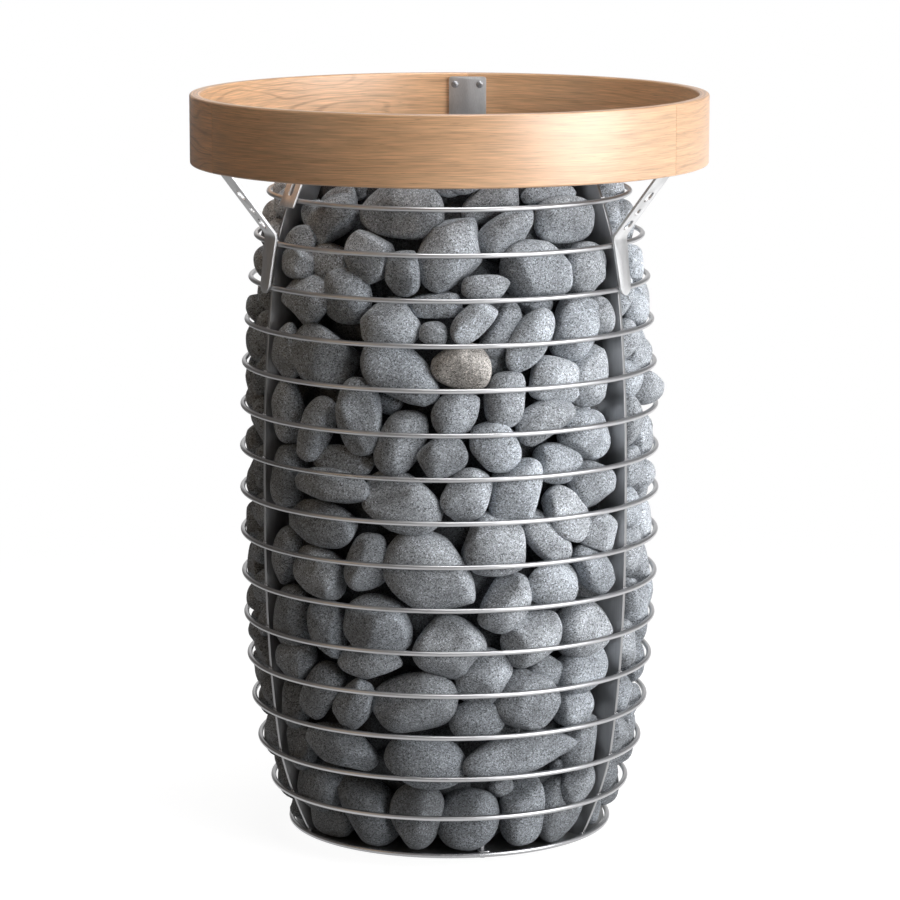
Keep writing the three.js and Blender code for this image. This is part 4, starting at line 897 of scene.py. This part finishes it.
def stone_material():
    """Speckled rock: dark and white grains in a grey ground, clouded, with a finely pitted skin."""
    made = bpy.data.materials.new("heater_stone")
    made.use_nodes = True
    tree = made.node_tree
    shader = tree.nodes["Principled BSDF"]
    place = add_node(tree, "TexCoord").outputs["Object"]
    grains = add_node(tree, "TexVoronoi", {"Vector": place, "Scale": 1020.0, "Randomness": 1.0})
    pick = add_node(tree, "SeparateColor", {"Color": grains.outputs["Color"]})
    clouds = add_node(tree, "TexNoise", {"Vector": place, "Scale": 34.0, "Detail": 4.0}).outputs["Fac"]
    fine = add_node(tree, "TexNoise", {"Vector": place, "Scale": 900.0, "Detail": 3.0}).outputs["Fac"]
    ground = add_node(tree, "ValToRGB", {"Fac": pick.outputs["Red"]})
    ground.color_ramp.interpolation = "CONSTANT"
    steps = ((0.0, 0.05), (0.14, 0.25), (0.40, 0.40), (0.72, 0.57), (0.93, 0.86))
    while len(ground.color_ramp.elements) < len(steps):
        ground.color_ramp.elements.new(0.5)
    for stop, (position, level) in zip(ground.color_ramp.elements, steps):
        stop.position = position
        stop.color = (level * 0.93, level, level * 1.095, 1)
    soft = add_node(tree, "Mix", data_type="RGBA")
    put(tree, soft.inputs["Factor"], 0.28)
    put(tree, soft.inputs[6], ground.outputs["Color"])
    put(tree, soft.inputs[7], (0.34, 0.36, 0.38, 1))
    warm = add_node(tree, "Mix", data_type="RGBA", blend_type="MULTIPLY")
    put(tree, warm.inputs["Factor"], add_node(tree, "Attribute", attribute_name="warmth").outputs["Fac"])
    put(tree, warm.inputs[6], soft.outputs[2])
    put(tree, warm.inputs[7], (1.2, 1.0, 0.8, 1))
    # The tone attribute scales the colour; it holds each stone's own tone, with painted shade on the lower and the
    # inner stones.
    level = calculate(
        tree, "MULTIPLY",
        add_node(tree, "Attribute", attribute_name="tone_and_painted_light").outputs["Fac"],
        spread(tree, clouds, 0.3, 0.7, 0.7, 1.25),
    )
    shaded = add_node(tree, "VectorMath", operation="SCALE")
    put(tree, shaded.inputs[0], warm.outputs[2])
    put(tree, shaded.inputs["Scale"], level)
    put(tree, shader.inputs["Base Color"], shaded.outputs[0])
    put(tree, shader.inputs["Roughness"], spread(tree, fine, 0.3, 0.7, 0.72, 0.95))
    skin = calculate(tree, "ADD", fine, calculate(tree, "MULTIPLY", clouds, 2.0))
    bump_to(tree, shader, skin, 0.0004)
    return made


heater_stone = stone_material()


def pile_mesh(name, stones):
    """One mesh of many stones, each stone's tone with painted shade and its warmth kept on its points."""
    points, faces = joined([stone[:2] for stone in stones])
    mesh = mesh_of(name, points, faces)
    for label, column in (("tone_and_painted_light", 2), ("warmth", 3)):
        values = np.concatenate([np.full(len(stone[0]), stone[column]) for stone in stones])
        mesh.attributes.new(label, "FLOAT", "POINT").data.foreach_set("value", values)
    return mesh


for (bay, tier), stones in piles.items():
    node = f"stones_{BAY_NAMES[bay]}_{TIER_NAMES[tier]}"
    fit("laid_" + node, pile_mesh("laid_" + node, stones), heater_stone, "heater", "stone", node)
fit("laid_stones_top", pile_mesh("laid_stones_top", crown), heater_stone, "heater", "stone", "stones_top")
dress("stones_core", heater_stone)

# Clip plate: a small strip of steel, slotted and bent over the top ring beside the left rib, where it hangs
# against the two top rings.
CLIP_AZIMUTH = 214.5
CLIP_WIDTH = 0.026
CLIP_THICKNESS = 0.002
CLIP_REACH = 0.0085
CLIP_HOOK = 0.014
CLIP_BEND = 0.003
CLIP_CORNER = 0.002
CLIP_SLOT_WIDTH = 0.007
CLIP_SLOT_LENGTH = 0.016
CLIP_SLOT_RISE = 0.003
CLIP_LIFT = 0.0053
BEND_STEPS = 10
STRAP_TINT = (0.76, 0.76, 0.765, 1)


def bent_route(corners, radius):
    """Points of a route with its corners bent to a radius, with the length along the route at each point."""
    corners = [np.array(corner, dtype=float) for corner in corners]
    points = [corners[0]]
    for before, here, after in zip(corners, corners[1:], corners[2:]):
        back = (before - here) / np.linalg.norm(before - here)
        on = (after - here) / np.linalg.norm(after - here)
        half = math.acos(np.clip(back @ on, -1, 1)) / 2
        tangent = radius / math.tan(half)
        middle = here + (back + on) / np.linalg.norm(back + on) * radius / math.sin(half)
        first, last = here + back * tangent - middle, here + on * tangent - middle
        sweep = math.pi - 2 * half
        for step in range(BEND_STEPS + 1):
            share = step / BEND_STEPS
            blend = (math.sin((1 - share) * sweep) * first + math.sin(share * sweep) * last) / math.sin(sweep)
            points.append(middle + blend)
    points.append(corners[-1])
    points = np.array(points)
    steps = np.diff(points, axis=0)
    lengths = np.concatenate([[0], np.cumsum(np.linalg.norm(steps, axis=1))])
    return points, lengths


def bend_plate(work, points, lengths):
    """Lays a flat plate along a route of radius and height, on the +X side."""
    flat, faces = plate_data(work)
    steps = np.diff(points, axis=0)
    slopes = np.unwrap(np.arctan2(steps[:, 1], steps[:, 0]))
    middles = (lengths[1:] + lengths[:-1]) / 2
    along = np.clip(flat[:, 1], 0, lengths[-1])
    slope = np.interp(along, middles, slopes)
    reach = np.interp(along, lengths, points[:, 0]) + flat[:, 2] * np.sin(slope)
    rise = np.interp(along, lengths, points[:, 1]) - flat[:, 2] * np.cos(slope)
    return np.stack([reach, flat[:, 0], rise], axis=1), faces


strap_steel = steel("strap_steel", STRAP_TINT, 0.35, 0.47, (900, 900, 300), 0.00002)
upper = np.array((ring_radius[-1], ring_height[-1]))
lower = np.array((ring_radius[-2], ring_height[-2]))
clip_way = (upper - lower) / np.linalg.norm(upper - lower)
clip_out = np.array((clip_way[1], -clip_way[0])) * (ROD / 2 + FIT_GAP + CLIP_THICKNESS / 2)
clip_tip = lower + clip_out - clip_way * CLIP_REACH
clip_top = ring_height[-1] + CLIP_LIFT + CLIP_THICKNESS / 2
clip_crest = clip_tip + clip_way * (clip_top - clip_tip[1]) / clip_way[1]
clip_points, clip_lengths = bent_route(
    [clip_tip, clip_crest, (clip_crest[0] - CLIP_HOOK, clip_top)], CLIP_BEND
)
half = CLIP_WIDTH / 2
clip_end = clip_lengths[-1]
slot_low = CLIP_REACH + CLIP_SLOT_RISE
slot_half = CLIP_SLOT_WIDTH / 2
slot = rounded([
    (-slot_half, slot_low), (slot_half, slot_low),
    (slot_half, slot_low + CLIP_SLOT_LENGTH), (-slot_half, slot_low + CLIP_SLOT_LENGTH),
], CLIP_CORNER)
clip_outline = rounded([(-half, 0), (half, 0), (half, clip_end), (-half, clip_end)], CLIP_CORNER)
clip_plate = flat_plate(clip_outline, [slot], CLIP_THICKNESS, PLATE_EDGE, clip_lengths[1:-1])
clip_shape, clip_faces = bend_plate(clip_plate, clip_points, clip_lengths)
clip_mesh = mesh_of("clip_plate", around(clip_shape, CLIP_AZIMUTH), clip_faces, sharp=30)
fit("clip_plate", clip_mesh, strap_steel, "heater", "strap_steel", "hanger_clip")

# Railing brackets: three laser-cut straps of stainless sheet. The tapered tongue lies on two rings, the
# leg with its three holes flares outwards, and the wider plate is screwed to the inside of the railing.
BRACKET_AZIMUTHS = (88, 210, 330)
STRAP_WIDTH = 0.025
STRAP_PLATE_WIDTH = 0.0385
STRAP_PLATE_RISE = 0.010
STRAP_THICKNESS = 0.0025
STRAP_BEND = 0.009
STRAP_CORNER = 0.003
TONGUE_TIP_RADIUS = 0.0095
TONGUE_REACH = 0.0065
KNEE_RISE = 0.008
FLARE_ANGLE = math.radians(38)
FLARE_HOLES = ((0.185, 0.00625), (0.4, 0.00425), (0.645, 0.00625))
LOWER_SEAT = RING_COUNT - 4
UPPER_SEAT = RING_COUNT - 3

bracket_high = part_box("railing_bracket_01")[1]
lower = np.array((ring_radius[LOWER_SEAT], ring_height[LOWER_SEAT]))
upper = np.array((ring_radius[UPPER_SEAT], ring_height[UPPER_SEAT]))
tongue_way = (upper - lower) / np.linalg.norm(upper - lower)
tongue_out = np.array((tongue_way[1], -tongue_way[0])) * (ROD / 2 + FIT_GAP + STRAP_THICKNESS / 2)
strap_tip = lower + tongue_out - tongue_way * TONGUE_REACH
strap_knee = upper + tongue_out + tongue_way * KNEE_RISE
plate_lean = math.radians(90 - BRACKET_AZIMUTHS[0])
plate_outside = (bracket_high.y - STRAP_PLATE_WIDTH / 2 * math.sin(plate_lean)) / math.cos(plate_lean)
plate_reach = plate_outside - STRAP_THICKNESS / 2
flare_rise = (plate_reach - strap_knee[0]) / math.tan(FLARE_ANGLE)
strap_corner = np.array((plate_reach, strap_knee[1] + flare_rise))
strap_top = np.array((plate_reach, bracket_high.z))
strap_points, strap_lengths = bent_route([strap_tip, strap_knee, strap_corner, strap_top], STRAP_BEND)
strap_end = strap_lengths[-1]
knee_length = np.linalg.norm(strap_knee - strap_tip)
flare_length = np.linalg.norm(strap_corner - strap_knee)
half = STRAP_WIDTH / 2
plate_half = STRAP_PLATE_WIDTH / 2
leg_end = strap_end - (strap_top[1] - strap_corner[1]) + STRAP_PLATE_RISE
tip_arc = [
    (-TONGUE_TIP_RADIUS * math.cos(angle), TONGUE_TIP_RADIUS * (1 - math.sin(angle)))
    for angle in np.linspace(0, math.pi, 17)
]
corner_arc = [
    (plate_half - STRAP_CORNER * (1 - math.cos(angle)), strap_end - STRAP_CORNER * (1 - math.sin(angle)))
    for angle in np.linspace(0, math.pi / 2, 6)
]
right_side = [(half, knee_length), (half, leg_end), (plate_half, leg_end + plate_half - half)] + corner_arc
strap_outline = tip_arc + right_side + [(-x, y) for x, y in reversed(right_side)]
strap_holes = [circle(radius, (0, knee_length + share * flare_length), 28) for share, radius in FLARE_HOLES]
strap_plate = flat_plate(strap_outline, strap_holes, STRAP_THICKNESS, PLATE_EDGE, strap_lengths[1:-1])
strap_shape, strap_faces = bend_plate(strap_plate, strap_points, strap_lengths)
for number, azimuth in enumerate(BRACKET_AZIMUTHS, start=1):
    name = f"bent_strap_{number:02d}"
    strap_mesh = mesh_of(name, around(strap_shape, azimuth), strap_faces, sharp=30)
    fit(name, strap_mesh, strap_steel, "heater", "strap_steel", f"railing_bracket_{number:02d}")

# Safety railing: a hoop of pale wood, laminated from thin plies in three bent lengths, which meet in
# butt joints behind the brackets. The edges are rounded over, and the wood is left bare.
RAILING_EDGE = 0.002
RAILING_EDGE_STEPS = 6
RAILING_STEPS = 96
RAILING_JOINT = 0.0004
PLY = 0.0033
WOOD_PALE = (0.70, 0.405, 0.21, 1)
WOOD_DARK = (0.44, 0.22, 0.10, 1)
WOOD_PORE = (0.30, 0.155, 0.075, 1)
# The front length is lighter in tone than the two behind it, as painted light on the front of the railing.
WOOD_LENGTHS = (
    {"shift": 0.0, "tone_and_painted_light": 1.14, "figure": 1.0},
    {"shift": 3.7, "tone_and_painted_light": 1.0, "figure": 0.25},
    {"shift": 8.1, "tone_and_painted_light": 0.98, "figure": 0.5},
)
WOOD_WAVE = 0.005
WOOD_RINGS = 90
WOOD_FIGURE = 7.0

railing_low, railing_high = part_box("wood_railing")
rail_outer = railing_high.y
rail_inner = rail_outer - 0.010
profile = []
for middle_reach, middle_rise, start in (
    (rail_outer - RAILING_EDGE, railing_low.z + RAILING_EDGE, -90),
    (rail_outer - RAILING_EDGE, railing_high.z - RAILING_EDGE, 0),
    (rail_inner + RAILING_EDGE, railing_high.z - RAILING_EDGE, 90),
    (rail_inner + RAILING_EDGE, railing_low.z + RAILING_EDGE, 180),
):
    for step in range(RAILING_EDGE_STEPS + 1):
        angle = math.radians(start + 90 * step / RAILING_EDGE_STEPS)
        profile.append((middle_reach + RAILING_EDGE * math.cos(angle), middle_rise + RAILING_EDGE * math.sin(angle)))
profile = np.array(profile)
profile_sides = len(profile)
profile_run = np.concatenate([[0], np.cumsum(np.linalg.norm(np.diff(np.vstack([profile, profile[:1]]), axis=0), axis=1))])
rail_shells = []
rail_maps = []
joint_ends = BRACKET_AZIMUTHS[1:] + (BRACKET_AZIMUTHS[0] + 360,)
gap = math.degrees(RAILING_JOINT / 2 / rail_outer)
for start, end, length in zip(BRACKET_AZIMUTHS, joint_ends, WOOD_LENGTHS):
    angles = np.radians(np.linspace(start + gap, end - gap, RAILING_STEPS))
    sections = np.stack([
        profile[None, :, 0] * np.cos(angles)[:, None],
        profile[None, :, 0] * np.sin(angles)[:, None],
        np.broadcast_to(profile[None, :, 1], (RAILING_STEPS, profile_sides)),
    ], axis=2)
    rail_shells.append(loft(sections))
    run = angles * rail_outer + length["shift"]
    for step in range(RAILING_STEPS - 1):
        for side in range(profile_sides):
            low, high = profile_run[side], profile_run[side + 1]
            rail_maps += [(run[step], low), (run[step], high), (run[step + 1], high), (run[step + 1], low)]
    for end in (0, -1):
        order = range(profile_sides) if end else reversed(range(profile_sides))
        rail_maps += [(run[end] + profile[side][0], profile[side][1]) for side in order]
rail_points, rail_faces = joined(rail_shells)
rail_mesh = bpy.data.meshes.new("railing_hoop")
rail_mesh.from_pydata([tuple(point) for point in rail_points], [], rail_faces)
rail_mesh.uv_layers.new(name="grain").uv.foreach_set("vector", np.array(rail_maps, dtype=np.float32).ravel())
for label in ("tone_and_painted_light", "figure"):
    values = [np.full(len(shell[0]), length[label]) for shell, length in zip(rail_shells, WOOD_LENGTHS)]
    rail_mesh.attributes.new(label, "FLOAT", "POINT").data.foreach_set("value", np.concatenate(values))
rail_mesh.flip_normals()
rail_mesh.shade_smooth()
rail_mesh.set_sharp_from_angle(angle=math.radians(40))


def wood_material():
    """Bare oak: wavy growth rings and short fine streaks along the bend, dark pores, plies on the edges."""
    made = bpy.data.materials.new("railing_wood")
    made.use_nodes = True
    tree = made.node_tree
    shader = tree.nodes["Principled BSDF"]
    grain = add_node(tree, "UVMap", uv_map="grain").outputs["UV"]

    def along_grain(place, run, across, detail):
        scaled = add_node(tree, "Mapping", {"Vector": place, "Scale": (run, across, 1)})
        noise = add_node(tree, "TexNoise", {"Vector": scaled.outputs[0], "Scale": 1.0, "Detail": detail})
        return noise.outputs["Fac"]

    def of_length(label):
        return add_node(tree, "Attribute", attribute_name=label).outputs["Fac"]

    wave = spread(tree, along_grain(grain, 4, 16, 1.0), 0, 1, -WOOD_WAVE, WOOD_WAVE)
    wavy = add_node(tree, "VectorMath", operation="ADD")
    put(tree, wavy.inputs[0], grain)
    put(tree, wavy.inputs[1], add_node(tree, "CombineXYZ", {"Y": wave}).outputs[0])
    wavy = wavy.outputs[0]
    across = add_node(tree, "SeparateXYZ", {"Vector": wavy}).outputs["Y"]
    turns = calculate(tree, "MULTIPLY", across, 2 * math.pi * WOOD_RINGS)
    swirl = calculate(tree, "MULTIPLY", along_grain(grain, 7, 30, 1.0), 2 * math.pi * WOOD_FIGURE)
    figure = calculate(tree, "ADD", turns, calculate(tree, "MULTIPLY", swirl, of_length("figure")))
    rings = spread(tree, calculate(tree, "SINE", figure), 0.4, 1.0, 0.0, 1.0)
    patches = spread(tree, along_grain(grain, 6, 20, 1.0), 0.38, 0.62, 0.15, 1.0)
    rings = calculate(tree, "MULTIPLY", rings, patches)
    bands = along_grain(wavy, 4, 100, 3.0)
    streaks = along_grain(wavy, 11, 360, 2.0)
    hairs = along_grain(wavy, 30, 950, 2.0)
    pores = along_grain(wavy, 60, 1000, 1.0)
    boldness = spread(tree, of_length("figure"), 0.0, 1.0, 0.1, 0.75)
    share = calculate(tree, "MULTIPLY", rings, boldness)
    share = calculate(tree, "ADD", share, spread(tree, bands, 0.4, 0.7, 0.0, 0.35))
    plain = blend(tree, share, WOOD_PALE, WOOD_DARK)
    # Each length's tone scales the wood; on the front length it is raised as painted light.
    level = calculate(tree, "MULTIPLY", of_length("tone_and_painted_light"), spread(tree, streaks, 0.35, 0.65, 0.93, 1.06))
    level = calculate(tree, "MULTIPLY", level, spread(tree, hairs, 0.36, 0.64, 0.8, 1.17))
    lit = add_node(tree, "VectorMath", operation="SCALE")
    put(tree, lit.inputs[0], plain)
    put(tree, lit.inputs["Scale"], level)
    crowded = spread(tree, rings, 0.0, 1.0, 0.68, 0.6)
    deep = calculate(tree, "MULTIPLY", calculate(tree, "SUBTRACT", pores, crowded), 7.0)
    pore = calculate(tree, "MINIMUM", calculate(tree, "MAXIMUM", deep, 0.0), 0.5)
    pored = blend(tree, pore, lit.outputs[0], WOOD_PORE)
    axes = add_node(tree, "SeparateXYZ", {"Vector": add_node(tree, "TexCoord").outputs["Object"]})
    reach = calculate(tree, "SQRT", calculate(
        tree, "ADD",
        calculate(tree, "MULTIPLY", axes.outputs["X"], axes.outputs["X"]),
        calculate(tree, "MULTIPLY", axes.outputs["Y"], axes.outputs["Y"]),
    ))
    ply_place = calculate(tree, "FRACT", calculate(tree, "DIVIDE", reach, PLY))
    glue = spread(tree, calculate(tree, "ABSOLUTE", calculate(tree, "SUBTRACT", ply_place, 0.5)), 0.0, 0.2, 0.85, 0.0)
    upright = add_node(tree, "SeparateXYZ", {"Vector": add_node(tree, "NewGeometry").outputs["Normal"]})
    on_edge = spread(tree, calculate(tree, "ABSOLUTE", upright.outputs["Z"]), 0.5, 0.8, 0.0, 1.0)
    put(tree, shader.inputs["Base Color"], blend(tree, calculate(tree, "MULTIPLY", glue, on_edge), pored, WOOD_PORE))
    put(tree, shader.inputs["Roughness"], spread(tree, hairs, 0.3, 0.7, 0.42, 0.55))
    put(tree, shader.inputs["Coat Weight"], 1.0)
    put(tree, shader.inputs["Coat Roughness"], 0.38)
    put(tree, shader.inputs["Coat IOR"], 1.75)
    bump_to(tree, shader, calculate(tree, "SUBTRACT", hairs, pore), 0.0001, 0.6)
    return made


fit("railing_hoop", rail_mesh, wood_material(), "heater", "oak", "wood_railing")

# Railing screws: dome-head wood screws with a cross recess, two through each bracket's plate.
HEAD_RADIUS = 0.0038
HEAD_HEIGHT = 0.0026
RECESS_LENGTH = 0.0044
RECESS_WIDTH = 0.0009
RECESS_DEPTH = 0.0013
HEAD_SIDES = 32
SHANK_RADIUS = 0.002


def screw_data():
    """Points and faces of a screw on the Z axis, head up, with its cross recess cut in."""
    dome = [
        (HEAD_RADIUS * math.cos(angle), HEAD_HEIGHT * math.sin(angle))
        for angle in np.linspace(math.pi / 2, 0, 9)
    ]
    sections = turned(tuple(dome) + ((SHANK_RADIUS, 0.0), (SHANK_RADIUS, -0.008), (0, -0.0098)), HEAD_SIDES)
    head = bpy.data.objects.new("screw_head", mesh_of("screw_head", *loft(sections)))
    scene.collection.objects.link(head)
    cutters = []
    for size in ((RECESS_LENGTH, RECESS_WIDTH), (RECESS_WIDTH, RECESS_LENGTH)):
        work = bmesh.new()
        bmesh.ops.create_cube(work, size=1)
        bmesh.ops.scale(work, verts=work.verts[:], vec=(*size, 2 * RECESS_DEPTH))
        bmesh.ops.translate(work, verts=work.verts[:], vec=(0, 0, HEAD_HEIGHT))
        mesh = bpy.data.meshes.new("recess")
        work.to_mesh(mesh)
        work.free()
        cutter = bpy.data.objects.new("recess", mesh)
        scene.collection.objects.link(cutter)
        cut = head.modifiers.new("recess", "BOOLEAN")
        cut.operation = "DIFFERENCE"
        cut.object = cutter
        cutters.append(cutter)
    settled = head.evaluated_get(bpy.context.evaluated_depsgraph_get()).to_mesh()
    points = np.array([part.co[:] for part in settled.vertices])
    faces = [list(face.vertices) for face in settled.polygons]
    head.to_mesh_clear()
    for helper in [head, *cutters]:
        bpy.data.objects.remove(helper)
    return points, faces


screw_points, screw_faces = screw_data()
for number in range(1, 7):
    node = f"railing_screw_{number:02d}"
    low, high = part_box(node)
    middle = (low + high) / 2
    azimuth = BRACKET_AZIMUTHS[(number - 1) // 2]
    angle = math.radians(azimuth)
    aside = -middle.x * math.sin(angle) + middle.y * math.cos(angle)
    seat_reach = plate_reach - STRAP_THICKNESS / 2 - FIT_GAP / 2
    placed = np.stack([seat_reach - screw_points[:, 2], aside + screw_points[:, 0], middle.z + screw_points[:, 1]], axis=1)
    screw_mesh = mesh_of(node + "_cross", around(placed, azimuth), screw_faces, sharp=35)
    fit(node + "_cross", screw_mesh, screw_steel, "heater", "screw_steel", node)
